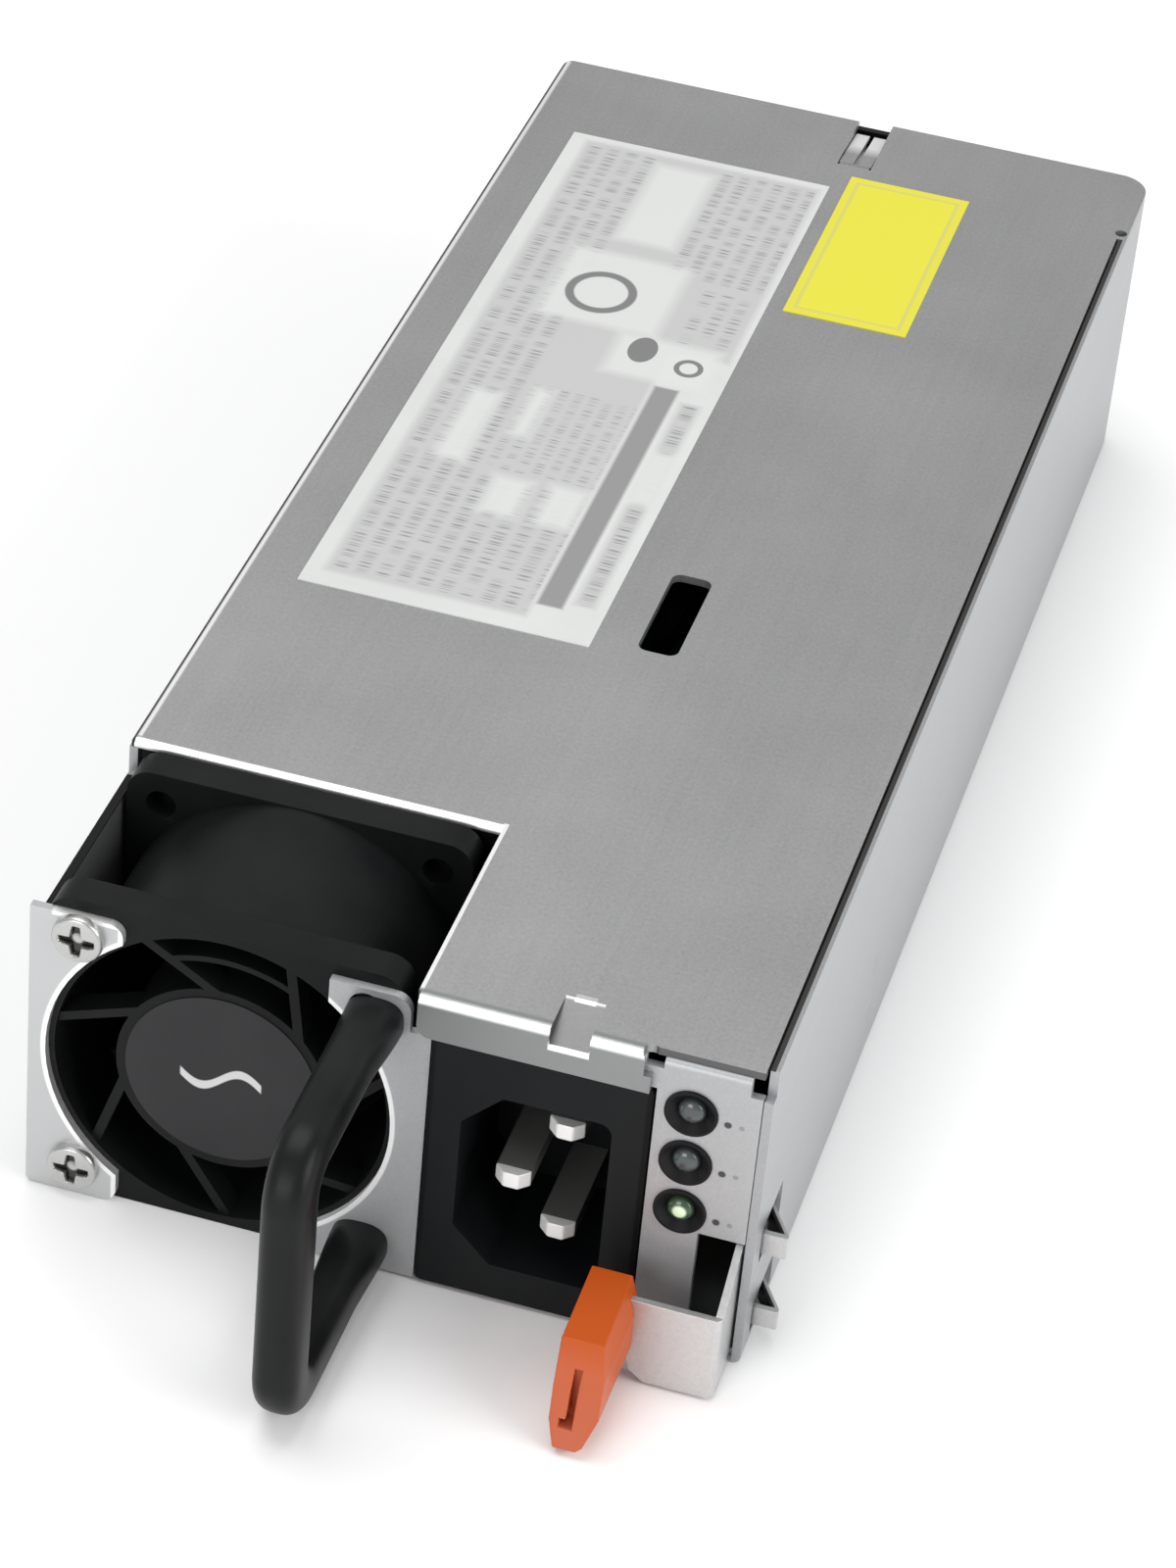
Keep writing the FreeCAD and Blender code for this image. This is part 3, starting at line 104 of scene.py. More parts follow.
def addFloor():
    reach, level = 3.0, -0.0001                # a hair under the part, so the two never coincide
    mesh = bpy.data.meshes.new("floor")
    corners = [(-reach, -reach, level), (reach, -reach, level), (reach, reach, level), (-reach, reach, level)]
    mesh.from_pydata(corners, [], [(0, 1, 2, 3)])
    floor = bpy.data.objects.new("floor", mesh)
    scene.collection.objects.link(floor)
    material = bpy.data.materials.new("floorPaper")
    material.use_nodes = True
    paper = material.node_tree.nodes["Principled BSDF"]
    paper.inputs["Base Color"].default_value = (*studio["floorTone"], 1)
    paper.inputs["Roughness"].default_value = 0.9
    mesh.materials.append(material)


def addSky():
    world = bpy.data.worlds.new("studio")
    scene.world = world
    world.use_nodes = True
    sky = world.node_tree.nodes["Background"]
    sky.inputs["Color"].default_value = (*studio["skyTone"], 1)
    sky.inputs["Strength"].default_value = studio["skyPower"]


for lamp in studio["lamps"]:
    addLamp(*lamp)
addFloor()
addSky()
scene.view_settings.view_transform = "Standard"
print("studio lit")


class Graph:
    # a thin layer over a node tree: add a node with its settings, join sockets, set values
    def __init__(self, tree):
        self.tree = tree

    def add(self, kind, **settings):
        node = self.tree.nodes.new("ShaderNode" + kind)
        for key, value in settings.items():
            setattr(node, key, value)
        return node

    def feed(self, socket, source):
        if isinstance(source, bpy.types.NodeSocket):
            self.tree.links.new(source, socket)
        elif isinstance(source, (tuple, list)) and len(source) == 3 and socket.type == "RGBA":
            socket.default_value = (*source, 1)
        else:
            socket.default_value = source

    def math(self, operation, *values):
        node = self.add("Math", operation=operation)
        for number, value in enumerate(values):
            self.feed(node.inputs[number], value)
        return node.outputs[0]

    def mix(self, share, low, high):
        node = self.add("Mix", data_type="RGBA")
        self.feed(node.inputs["Factor"], share)
        self.feed(node.inputs["A"], low)
        self.feed(node.inputs["B"], high)
        return node.outputs["Result"]

    def range(self, value, fromLow, fromHigh, toLow, toHigh):
        node = self.add("MapRange")
        for key, number in zip(("Value", "From Min", "From Max", "To Min", "To Max"),
                               (value, fromLow, fromHigh, toLow, toHigh)):
            self.feed(node.inputs[key], number)
        return node.outputs[0]

    def noise(self, vector, scale, detail=2.0, rough=0.5):
        node = self.add("TexNoise")
        self.feed(node.inputs["Vector"], vector)
        self.feed(node.inputs["Scale"], scale)
        self.feed(node.inputs["Detail"], detail)
        self.feed(node.inputs["Roughness"], rough)
        return node.outputs[0]

    def stretched(self, vector, x, y, z):
        node = self.add("Mapping")
        self.feed(node.inputs["Vector"], vector)
        self.feed(node.inputs["Scale"], (x, y, z))
        return node.outputs[0]


def openGroup(name, inputs, outputs):
    tree = bpy.data.node_groups.new(name, "ShaderNodeTree")
    for key, (kind, default) in inputs.items():
        socket = tree.interface.new_socket(key, in_out="INPUT", socket_type="NodeSocket" + kind)
        socket.default_value = default
    for key, kind in outputs.items():
        tree.interface.new_socket(key, in_out="OUTPUT", socket_type="NodeSocket" + kind)
    entry = tree.nodes.new("NodeGroupInput")
    leaving = tree.nodes.new("NodeGroupOutput")
    return Graph(tree), entry.outputs, leaving.inputs


def sheetGrainGroup():
    # rolled zinc: fine speckle, long soft streaks along Y, and broad cloudy patches
    graph, given, out = openGroup("sheetGrain", {
        "Tone": ("Color", (0.4, 0.4, 0.4, 1)), "Rough": ("Float", 0.4), "Speckle": ("Float", 0.06),
        "Streaks": ("Float", 0.05), "Clouds": ("Float", 0.05)},
        {"Color": "Color", "Roughness": "Float", "Height": "Float"})
    place = graph.add("TexCoord").outputs["Object"]
    speckle = graph.noise(graph.stretched(place, 1, 0.7, 1), 2600, 2, 0.6)
    streaks = graph.noise(graph.stretched(place, 1, 0.03, 1), 900, 3, 0.6)
    clouds = graph.noise(place, 38, 3, 0.55)
    light = graph.math("MULTIPLY_ADD", graph.math("SUBTRACT", speckle, 0.5), given["Speckle"], 1.0)
    light = graph.math("MULTIPLY_ADD", graph.math("SUBTRACT", streaks, 0.5), given["Streaks"], light)
    light = graph.math("MULTIPLY_ADD", graph.math("SUBTRACT", clouds, 0.5), given["Clouds"], light)
    scaled = graph.add("VectorMath", operation="SCALE")
    graph.feed(scaled.inputs[0], given["Tone"])
    graph.feed(scaled.inputs["Scale"], light)
    graph.feed(out["Color"], scaled.outputs[0])
    rough = graph.math("MULTIPLY_ADD", graph.math("SUBTRACT", clouds, 0.5), 0.14, given["Rough"])
    rough = graph.math("MULTIPLY_ADD", graph.math("SUBTRACT", speckle, 0.5), 0.12, rough)
    graph.feed(out["Roughness"], rough)
    graph.feed(out["Height"], graph.math("MULTIPLY_ADD", streaks, 0.4, speckle))
    return graph.tree


def mouldGrainGroup():
    # moulded plastic: pebbled texture, faint flow marks and a little dust in the tone
    graph, given, out = openGroup("mouldGrain", {
        "Tone": ("Color", (0.03, 0.03, 0.03, 1)), "Dust": ("Color", (0.2, 0.2, 0.2, 1)),
        "Dusty": ("Float", 0.05),
        "Rough": ("Float", 0.45), "Grain": ("Float", 2200.0)},
        {"Color": "Color", "Roughness": "Float", "Height": "Float"})
    place = graph.add("TexCoord").outputs["Object"]
    pebble = graph.noise(place, given["Grain"], 1, 0.5)
    flow = graph.noise(graph.stretched(place, 1, 1, 0.5), 60, 4, 0.6)
    dust = graph.math("MULTIPLY", graph.range(flow, 0.35, 0.75, 0, 1), given["Dusty"])
    graph.feed(out["Color"], graph.mix(dust, given["Tone"], given["Dust"]))
    rough = graph.math("MULTIPLY_ADD", graph.math("SUBTRACT", flow, 0.5), 0.22, given["Rough"])
    graph.feed(out["Roughness"], rough)
    graph.feed(out["Height"], pebble)
    return graph.tree


def zoneGroup():
    # 1 inside the box between Low and High on the part, 0 outside, over a soft border
    graph, given, out = openGroup("zone", {
        "Low": ("Vector", (0, 0, 0)), "High": ("Vector", (0.01, 0.01, 0.01)), "Soft": ("Float", 0.0002)},
        {"Mask": "Float"})
    place = graph.add("TexCoord").outputs["Object"]
    inside = []
    for first, second in ((place, given["Low"]), (given["High"], place)):
        away = graph.add("VectorMath", operation="SUBTRACT")
        graph.feed(away.inputs[0], first)
        graph.feed(away.inputs[1], second)
        inside.append(away.outputs[0])
    nearest = graph.add("VectorMath", operation="MINIMUM")
    graph.feed(nearest.inputs[0], inside[0])
    graph.feed(nearest.inputs[1], inside[1])
    axes = graph.add("SeparateXYZ")
    graph.feed(axes.inputs[0], nearest.outputs[0])
    least = graph.math("MINIMUM", graph.math("MINIMUM", axes.outputs[0], axes.outputs[1]), axes.outputs[2])
    mask = graph.add("Math", operation="MULTIPLY_ADD", use_clamp=True)
    graph.feed(mask.inputs[0], graph.math("DIVIDE", least, given["Soft"]))
    mask.inputs[1].default_value = 1.0
    mask.inputs[2].default_value = 0.5
    graph.feed(out["Mask"], mask.outputs[0])
    return graph.tree


def printGroup():
    # rows of ink dashes: rows lie Across, dashes of uneven length run Along; no letters
    graph, given, out = openGroup("inkRows", {
        "Along": ("Float", 0.0), "Across": ("Float", 0.0),
        "Pitch": ("Float", 0.002), "Height": ("Float", 0.5),
        "Stroke": ("Float", 1400.0), "Fill": ("Float", 0.5)}, {"Mask": "Float"})
    rows = graph.math("DIVIDE", given["Across"], given["Pitch"])
    row = graph.math("FLOOR", rows)
    middle = graph.math("ABSOLUTE", graph.math("SUBTRACT", graph.math("FRACT", rows), 0.5))
    band = graph.range(graph.math("SUBTRACT", graph.math("MULTIPLY", given["Height"], 0.5), middle),
                       -0.15, 0.15, 0, 1)
    strokes = []
    for share, shift in ((1.0, 17.3), (0.16, 41.7)):
        marks = graph.add("TexNoise", noise_dimensions="1D")
        graph.feed(marks.inputs["W"], graph.math("MULTIPLY_ADD", row, shift, graph.math(
            "MULTIPLY", given["Along"], graph.math("MULTIPLY", given["Stroke"], share))))
        marks.inputs["Detail"].default_value = 1.0
        strokes.append(marks.outputs[0])
    fine = graph.range(graph.math("SUBTRACT", strokes[0], graph.math("SUBTRACT", 0.95, given["Fill"])),
                       0, 0.20, 0, 1)
    words = graph.range(strokes[1], 0.34, 0.46, 0, 1)
    graph.feed(out["Mask"], graph.math("MULTIPLY", band, graph.math("MULTIPLY", fine, words)))
    return graph.tree


grains = {"sheet": sheetGrainGroup(), "mould": mouldGrainGroup()}
zoneTree = zoneGroup()
printTree = printGroup()


def newMaterial(name):
    material = bpy.data.materials.new(name)
    material.use_nodes = True
    graph = Graph(material.node_tree)
    return material, graph, material.node_tree.nodes["Principled BSDF"]


def zone(graph, low, high, soft=0.0002):
    group = graph.add("Group", node_tree=zoneTree)
    graph.feed(group.inputs["Low"], low)
    graph.feed(group.inputs["High"], high)
    graph.feed(group.inputs["Soft"], soft)
    return group.outputs[0]


def grainedMaterial(name, grain, values, bump, marks=(), **constants):
    # a material that takes colour, roughness and relief from one of the grain groups;
    # marks: (mask maker, colour) laid over the colour in turn
    material, graph, shader = newMaterial(name)
    group = graph.add("Group", node_tree=grains[grain])
    for key, value in values.items():
        graph.feed(group.inputs[key], value)
    colour = group.outputs["Color"]
    for maker, tone in marks:
        colour = graph.mix(maker(graph), colour, tone)
    graph.feed(shader.inputs["Base Color"], colour)
    graph.feed(shader.inputs["Roughness"], group.outputs["Roughness"])
    relief = graph.add("Bump")
    relief.inputs["Strength"].default_value = bump[0]
    relief.inputs["Distance"].default_value = bump[1]
    graph.feed(relief.inputs["Height"], group.outputs["Height"])
    graph.feed(shader.inputs["Normal"], relief.outputs[0])
    for key, value in constants.items():
        shader.inputs[key.replace("_", " ")].default_value = value
    return material


def sheetMaterial(name, tone, rough, speckle=0.25, streaks=0.10, clouds=0.10, metallic=0.85, marks=()):
    return grainedMaterial(name, "sheet", {
        "Tone": tone, "Rough": rough, "Speckle": speckle, "Streaks": streaks, "Clouds": clouds},
        (0.25, 0.00002), marks, Metallic=metallic)


def mouldMaterial(name, tone, rough, dusty=0.05, grain=2200.0, bump=0.3, marks=(), **constants):
    return grainedMaterial(name, "mould", {
        "Tone": tone, "Rough": rough, "Dusty": dusty, "Grain": grain}, (bump, 0.00003), marks, **constants)


def dress(material, *names):
    for name in names:
        data = nodes[name].data
        data.materials.clear()
        data.materials.append(material)


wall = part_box("base_tray")
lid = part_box("top_cover")
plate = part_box("face_plate")
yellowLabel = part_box("notice_label")
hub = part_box("hub_label")
mm = 0.001


def boxZone(low, high, soft=0.0002):
    return lambda graph: zone(graph, low, high, soft)


def inkZone(low, high, pitch, height, stroke, fill, strength=1.0):
    # rows of dashes inside the box; rows stand across X, dashes run along Y
    def maker(graph):
        axes = graph.add("SeparateXYZ")
        graph.feed(axes.inputs[0], graph.add("TexCoord").outputs["Object"])
        rows = graph.add("Group", node_tree=printTree)
        graph.feed(rows.inputs["Along"], axes.outputs[1])
        graph.feed(rows.inputs["Across"], graph.math("SUBTRACT", axes.outputs[0], low[0]))
        for key, value in (("Pitch", pitch), ("Height", height), ("Stroke", stroke), ("Fill", fill)):
            graph.feed(rows.inputs[key], value)
        masked = graph.math("MULTIPLY", rows.outputs[0], zone(graph, low, high))
        return graph.math("MULTIPLY", masked, strength)
    return maker


def ringZone(centre, radii, width, strength=1.0):
    # an oval line on the lid: radii (x, y) of its middle line and its width
    def maker(graph):
        axes = graph.add("SeparateXYZ")
        graph.feed(axes.inputs[0], graph.add("TexCoord").outputs["Object"])
        across = graph.math("DIVIDE", graph.math("SUBTRACT", axes.outputs[0], centre[0]), radii[0])
        along = graph.math("DIVIDE", graph.math("SUBTRACT", axes.outputs[1], centre[1]), radii[1])
        square = graph.math("MULTIPLY_ADD", across, across, graph.math("MULTIPLY", along, along))
        off = graph.math("ABSOLUTE", graph.math("SUBTRACT", graph.math("SQRT", square), 1.0))
        half = width / radii[0] * 0.5
        return graph.range(off, half, half + 0.06, strength, 0.0)
    return maker


def dotZone(centre, radius):
    # a round dot, soft at its border
    def maker(graph):
        apart = graph.add("VectorMath", operation="DISTANCE")
        graph.feed(apart.inputs[0], graph.add("TexCoord").outputs["Object"])
        apart.inputs[1].default_value = centre
        return graph.range(apart.outputs["Value"], radius * 0.8, radius * 1.2, 1.0, 0.0)
    return maker


def waveZone(centre, reach, swing, width):
    # one period of a sine drawn on the hub: x along it, z its height
    def maker(graph):
        axes = graph.add("SeparateXYZ")
        graph.feed(axes.inputs[0], graph.add("TexCoord").outputs["Object"])
        along = graph.math("SUBTRACT", axes.outputs[0], centre[0])
        turn = graph.math("SINE", graph.math("MULTIPLY", along, math.pi / reach))
        height = graph.math("MULTIPLY_ADD", turn, swing, centre[2])
        off = graph.math("ABSOLUTE", graph.math("SUBTRACT", axes.outputs[2], height))
        line = graph.range(off, width * 0.42, width * 0.58, 1.0, 0.0)
        ends = graph.range(graph.math("ABSOLUTE", along), reach * 0.98, reach * 1.02, 1.0, 0.0)
        return graph.math("MULTIPLY", line, ends)
    return maker


def onLid(x0, x1, y0, y1):
    # a box through the lid's top from millimetres right of the left side and back of the front
    low = (wall[0][0] + x0 * mm, wall[0][1] + y0 * mm, lid[1][2] - 0.002)
    high = (wall[0][0] + x1 * mm, wall[0][1] + y1 * mm, lid[1][2] + 0.001)
    return low, high


caseFinish = {
    "lidTone": (0.40, 0.40, 0.405),
    "trayTone": (0.41, 0.42, 0.43),
    # painted light: the front ears lighter than the rest of the tray
    "earLight": (0.55, 0.555, 0.56),
    "plateTone": (0.44, 0.45, 0.46),
    "grilleTone": (0.42, 0.42, 0.425),
    # painted shade and painted highlights, laid over the sheets through caseShades
    "lipShade": (0.29, 0.30, 0.30),
    "bendGleam": (0.96, 0.96, 0.96),
    "dartShade": (0.15, 0.15, 0.152),
    "lidEdgeShade": (0.13, 0.13, 0.132),
    "paintedShade": (0.015, 0.015, 0.016),
    "seamShade": (0.060, 0.058, 0.055),
    "rim": (19.3, 0.85),                       # painted highlight round the fan: inner radius and width in millimetres
    "lampDots": ((0.0, 0.42, (0.07, 0.07, 0.0735)), (1.5, 0.30, (0.30, 0.30, 0.315))),  # shift, radius, tone
    "dotsBeside": 4.0,                         # right of a lamp's middle
    "dotsBelow": 0.4,
}
fanAxis = (wall[0][0] + 21.6 * mm, wall[0][2] + 20 * mm)       # its x and z

# painted highlights and painted shade on the case: tone, soft border, then a box: x from the left side, y
# from the front, z down from the lid's top
caseShades = {
    "lid": (
        ("bendGleam", 0.30, (0, 43.6, 29.2, 30.7, -1, 0.9)),          # painted highlight on the bend behind the fan
        ("paintedShade", 0.10, (0, 43.3, 29.2, 30.3, 0.95, 9)),            # painted shade on the skirt below that bend
        ("bendGleam", 0.10, (43.1, 43.65, 0, 31, -1, 0.9)),           # painted highlight on the edge beside the fan
        ("bendGleam", 0.30, (0.55, 1.05, 31, 199, -1, 0.6)),          # painted highlight on the left bend
        ("paintedShade", 0.10, (-1, 0.50, 29, 201, -1, 1.1)),              # painted shade under the left bend, on the left skirt
        ("lipShade", 0.40, (43, 70, -9, 0.6, -1, 9)),                  # painted shade on the front lip
        ("bendGleam", 0.12, (43, 69.2, -0.95, 0.15, 0.12, 0.95)),     # painted highlight on the bend of the lip
        ("lidEdgeShade", 0.05, (69, 92, 0.2, 0.75, 0.06, 1.2)),       # painted shade on the cut edge above the lamps
        ("dartShade", 0.10, (57.75, 62.25, -0.55, 5.6, 0.12, 9)),      # painted shade in the pressed dart
        ("bendGleam", 0.20, (58.9, 61.1, 4.7, 5.7, 0.02, 9)),         # painted highlight at its far end
        ("bendGleam", 0.10, (57.75, 62.25, -1.5, -0.5, 1.6, 2.7)),    # painted highlight at its near end, on the lip
    ),
    "tray": (
        ("seamShade", 0.05, (80.8, 81.55, -10, 210, -10, 0.12)),       # painted shade on the top of the right wall, in the seam under the lid
        ("paintedShade", 0.05, (-10, 1.2, 1.15, 29.5, 4.2, 4.7)),          # painted shade on the top of the left wall beside the fan
        ("earLight", 0.10, (-1, 11, -1, 1.02, -1, 41)),                # painted light: front ears lighter than the rest of the tray
        ("bendGleam", 0.20, (9.95, 12, -1, 1.02, -1, 41)),            # painted highlight on the inner edge of the ears
        ("bendGleam", 0.20, (2.5, 12, -1, 1.02, -1, 1.9)),            # painted highlight on the top edge of the upper ear
    ),
    "grille": (("paintedShade", 0.10, (41.5, 46.5, 198.5, 201, 0.5, 4)),),  # painted shade behind the rear notch
    "flap": (("bendGleam", 3.00, (41, 47, 192.5, 199, -1, 4)),),       # painted highlight, brightest towards the rear end
}


def throughLid(x0, x1, y0, y1, z0, z1):
    # a box given by millimetres right of the left side, behind the front and below the lid's top
    low = (wall[0][0] + x0 * mm, wall[0][1] + y0 * mm, lid[1][2] - z1 * mm)
    high = (wall[0][0] + x1 * mm, wall[0][1] + y1 * mm, lid[1][2] - z0 * mm)
    return low, high


def rimHighlightZone(radius, width):
    # a painted highlight on the edge of the fan's opening: a ring about the fan's axis, on the front sheet
    # only
    def maker(graph):
        axes = graph.add("SeparateXYZ")
        graph.feed(axes.inputs[0], graph.add("TexCoord").outputs["Object"])
        across = graph.math("SUBTRACT", axes.outputs[0], fanAxis[0])
        upward = graph.math("SUBTRACT", axes.outputs[2], fanAxis[1])
        square = graph.math("MULTIPLY_ADD", across, across, graph.math("MULTIPLY", upward, upward))
        off = graph.math("ABSOLUTE", graph.math("SUBTRACT", graph.math("SQRT", square), radius + width / 2))
        ring = graph.range(off, width * 0.4, width * 0.6, 1.0, 0.0)
        front = graph.range(axes.outputs[1], wall[0][1] + 1.1 * mm, wall[0][1] + 1.2 * mm, 1.0, 0.0)
        return graph.math("MULTIPLY", ring, front)
    return maker


# the painted highlights and painted shade of caseShades, as marks
def shades(name):
    return [(boxZone(*throughLid(*place), soft * mm), caseFinish[tone])
            for tone, soft, place in caseShades[name]]


def caseMaterials():
    radius, width = caseFinish["rim"]
    # painted highlight on the cut edge round the fan opening of the tray and the face plate
    rim = (rimHighlightZone(radius * mm, width * mm), caseFinish["bendGleam"])
    dots = []
    for lamp in ("lower", "middle", "upper"):
        low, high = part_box("status_lens_" + lamp)
        x = (low[0] + high[0]) / 2 + caseFinish["dotsBeside"] * mm
        z = (low[2] + high[2]) / 2 - caseFinish["dotsBelow"] * mm
        for shift, size, tone in caseFinish["lampDots"]:
            dots.append((dotZone((x + shift * mm, plate[0][1], z), size * mm), tone))
    dress(sheetMaterial("lidZinc", caseFinish["lidTone"], 0.42, 0.34, 0.12, 0.16, marks=shades("lid")),
          "top_cover")
    dress(sheetMaterial("trayZinc", caseFinish["trayTone"], 0.40, marks=shades("tray") + [rim]), "base_tray")
    dress(sheetMaterial("plateZinc", caseFinish["plateTone"], 0.46, metallic=0.55, marks=[rim] + dots),
          "face_plate")
    dress(sheetMaterial("grilleZinc", caseFinish["grilleTone"], 0.42, marks=shades("grille")), "rear_grille")


labelPrint = {  # places in millimetres on the lid: x0, x1, y0, y1
    "paper": (0.62, 0.63, 0.62),
    "wash": (0.475, 0.48, 0.475),
    "ink": (0.22, 0.22, 0.225),
    "mark": (0.13, 0.13, 0.13),
    "washSoft": 1.0,            # width of the soft borders
    "clearSoft": 2.2,
    "barSoft": 0.5,
    "inkShare": 0.85,
    "markShare": 0.9,
    "bar": ((34.2, 37.3, 72.5, 123.5), (0.25, 0.25, 0.25)),
    "washes": [(9.2, 33.8, 69.5, 179.0), (33.0, 41.4, 132.0, 179.0), (38.2, 40.8, 74.0, 121.0)],
    "clears": [(19.8, 27.5, 156.0, 176.5), (13.6, 17.2, 98.0, 114.0), (22.0, 26.5, 88.5, 96.5),
               (29.0, 33.4, 88.5, 97.0), (37.8, 41.2, 97.0, 109.0), (20.8, 22.8, 106.0, 117.0),
               (15.5, 31.0, 134.5, 152.0), (27.0, 40.0, 124.5, 134.0)],
    "blocks": [  # place; row pitch, row height, strokes to a metre, fill
        ((9.6, 19.6, 70.5, 178.0), (2.5, 0.56, 520.0, 0.50)),
        ((19.6, 33.6, 70.5, 96.0), (2.6, 0.56, 480.0, 0.50)),
        ((19.6, 33.6, 98.0, 118.0), (1.9, 0.56, 700.0, 0.46)),
        ((28.0, 41.0, 150.0, 178.0), (2.3, 0.56, 520.0, 0.50)),
        ((33.5, 41.0, 134.5, 148.0), (2.4, 0.56, 420.0, 0.47)),
        ((38.4, 40.8, 74.0, 121.0), (2.4, 0.60, 420.0, 0.50)),
    ],
    "rings": [  # middle, radii, width of the line
        ((21.8, 142.2), (4.0, 4.5), 0.9), ((30.5, 131.0), (0.9, 1.5), 1.8), ((37.0, 129.0), (1.5, 1.7), 0.6)],
}


def ratingMarks():
    # washes first, then the rows of ink, then clear patches, the bar and the rings over them
    marks = [(boxZone(*onLid(*place), labelPrint["washSoft"] * mm), labelPrint["wash"])
             for place in labelPrint["washes"]]
    for place, (pitch, height, strokes, fill) in labelPrint["blocks"]:
        low, high = onLid(*place)
        rows = inkZone(low, high, pitch * mm, height, strokes, fill, labelPrint["inkShare"])
        marks.append((rows, labelPrint["ink"]))
    marks += [(boxZone(*onLid(*place), labelPrint["clearSoft"] * mm), labelPrint["paper"])
              for place in labelPrint["clears"]]
    place, tone = labelPrint["bar"]
    marks.append((boxZone(*onLid(*place), labelPrint["barSoft"] * mm), tone))
    for centre, radii, width in labelPrint["rings"]:
        spot = [wall[0][axis] + centre[axis] * mm for axis in (0, 1)]
        ring = ringZone(spot, [r * mm for r in radii], width * mm, labelPrint["markShare"])
        marks.append((ring, labelPrint["mark"]))
    return marks


plainFilm = {
    "film": (0.68, 0.64, 0.035),
    "line": (0.58, 0.55, 0.12),
    "lineSpans": (1.0, 1.5),     # from the film's sides; 0.2 more from its ends
}
hubPrint = {
    "film": (0.014, 0.014, 0.016),
    "wave": (0.62, 0.62, 0.62),
    "reach": 4.6,                # half the wave's length
    "swing": 1.3,
    "width": 1.1,
}


def labelMaterials():
    dress(mouldMaterial("labelWhite", labelPrint["paper"], 0.45, dusty=0.12, marks=ratingMarks()),
          "rating_label")
    low, high = yellowLabel
    border = []
    for inset, tone in zip(plainFilm["lineSpans"], (plainFilm["line"], plainFilm["film"])):
        gap = [inset * mm, (inset + 0.2) * mm, -mm]
        border.append((boxZone([a + b for a, b in zip(low, gap)], [a - b for a, b in zip(high, gap)]), tone))
    dress(mouldMaterial("labelYellow", plainFilm["film"], 0.45, dusty=0.08, marks=border), "notice_label")
    middle = [(a + b) / 2 for a, b in zip(*hub)]
    wave = waveZone(middle, hubPrint["reach"] * mm, hubPrint["swing"] * mm, hubPrint["width"] * mm)
    dress(mouldMaterial("hubFilm", hubPrint["film"], 0.42, Specular_IOR_Level=0.3,
                        marks=[(wave, hubPrint["wave"])]), "hub_label")


caseMaterials()
labelMaterials()


hook = {
    "start": 4.8,                # behind the front, where the slanted outer face meets the tip
    "inward": 4.0,               # the slant of that face: so far inward
    "backward": 6.4,             # for so far backward
    "skin": 0.30,                # left bright under the face
    "fade": 0.12,
    "steel": (0.60, 0.60, 0.60),
    "shade": (0.02, 0.02, 0.02),
}


def hookShade(graph):
    # painted shade inside the latch's hooks: outside the wall and deeper than the skin under the slanted
    # face;
    # depth under that face = (fromTip * backward - behind * inward) / length of the slant
    axes = graph.add("SeparateXYZ")
    graph.feed(axes.inputs[0], graph.add("TexCoord").outputs["Object"])
    length = math.hypot(hook["inward"], hook["backward"])
    fromTip = graph.math("SUBTRACT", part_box("latch_spring")[1][0], axes.outputs[0])
    behind = graph.math("SUBTRACT", axes.outputs[1], wall[0][1] + hook["start"] * mm)
    depth = graph.math("SUBTRACT", graph.math("MULTIPLY", fromTip, hook["backward"] / length),
                       graph.math("MULTIPLY", behind, hook["inward"] / length))
    within = graph.range(depth, hook["skin"] * mm, (hook["skin"] + hook["fade"]) * mm, 0.0, 1.0)
    outside = graph.range(axes.outputs[0], wall[1][0] - 0.5 * mm, wall[1][0] - 0.3 * mm, 0.0, 1.0)
    past = graph.range(behind, 0.05 * mm, 0.15 * mm, 0.0, 1.0)
    return graph.math("MULTIPLY", within, graph.math("MULTIPLY", outside, past))


blade = {
    # painted shade on the shank, painted highlight on the tip
    "shank": (0.16, 0.16, 0.155),
    "tip": (0.95, 0.95, 0.94),
    "tipLength": 1.2,
}


def bladeMaterial():
    # painted highlight on the tips and painted shade on the shanks, where the socket shades them
    marks = []
    for name in ("line_blade", "neutral_blade", "earth_blade"):
        low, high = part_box(name)
        tip = boxZone([v - mm for v in low], (high[0] + mm, low[1] + blade["tipLength"] * mm, high[2] + mm),
                      0.0001)
        marks.append((tip, blade["tip"]))
    return sheetMaterial("contactNickel", blade["shank"], 0.3, 0.1, metallic=0.25, marks=marks)


flushScrew = {
    "steel": (0.46, 0.46, 0.46),
    # painted contact shadow round each head, and painted shade in the cross recess
    "seam": (0.16, 0.16, 0.16),
    "recessShade": (0.02, 0.02, 0.02),
    "seamWidth": 0.45,
    "barLong": 1.3,              # the cross's bars, half sizes
    "barWide": 0.28,
}


def flushScrewMaterial():
    # flush heads: a painted contact shadow where each head meets the wall, and a cross recess painted as
    # shade
    low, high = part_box("cover_screws")
    radius = (high[2] - low[2]) / 2
    x, z = low[0], (low[2] + high[2]) / 2
    long, wide = flushScrew["barLong"] * mm, flushScrew["barWide"] * mm
    marks = []
    for y in (low[1] + radius, high[1] - radius):
        marks.append((dotZone((x, y, z), radius - flushScrew["seamWidth"] * mm), flushScrew["steel"]))
        for along, upward in ((long, wide), (wide, long)):
            bar = boxZone((x - mm, y - along, z - upward), (x + mm, y + along, z + upward), 0.0001)
            marks.append((bar, flushScrew["recessShade"]))
    return sheetMaterial("screwFlush", flushScrew["seam"], 0.34, marks=marks)


grip = {
    "orange": (0.48, 0.075, 0.005),
    # painted light: the front end paler
    "litFront": (0.50, 0.12, 0.055),
    "litFrontReach": 3.0,          # behind the front end, and below the top
    "litFrontSoft": 5.0,
}


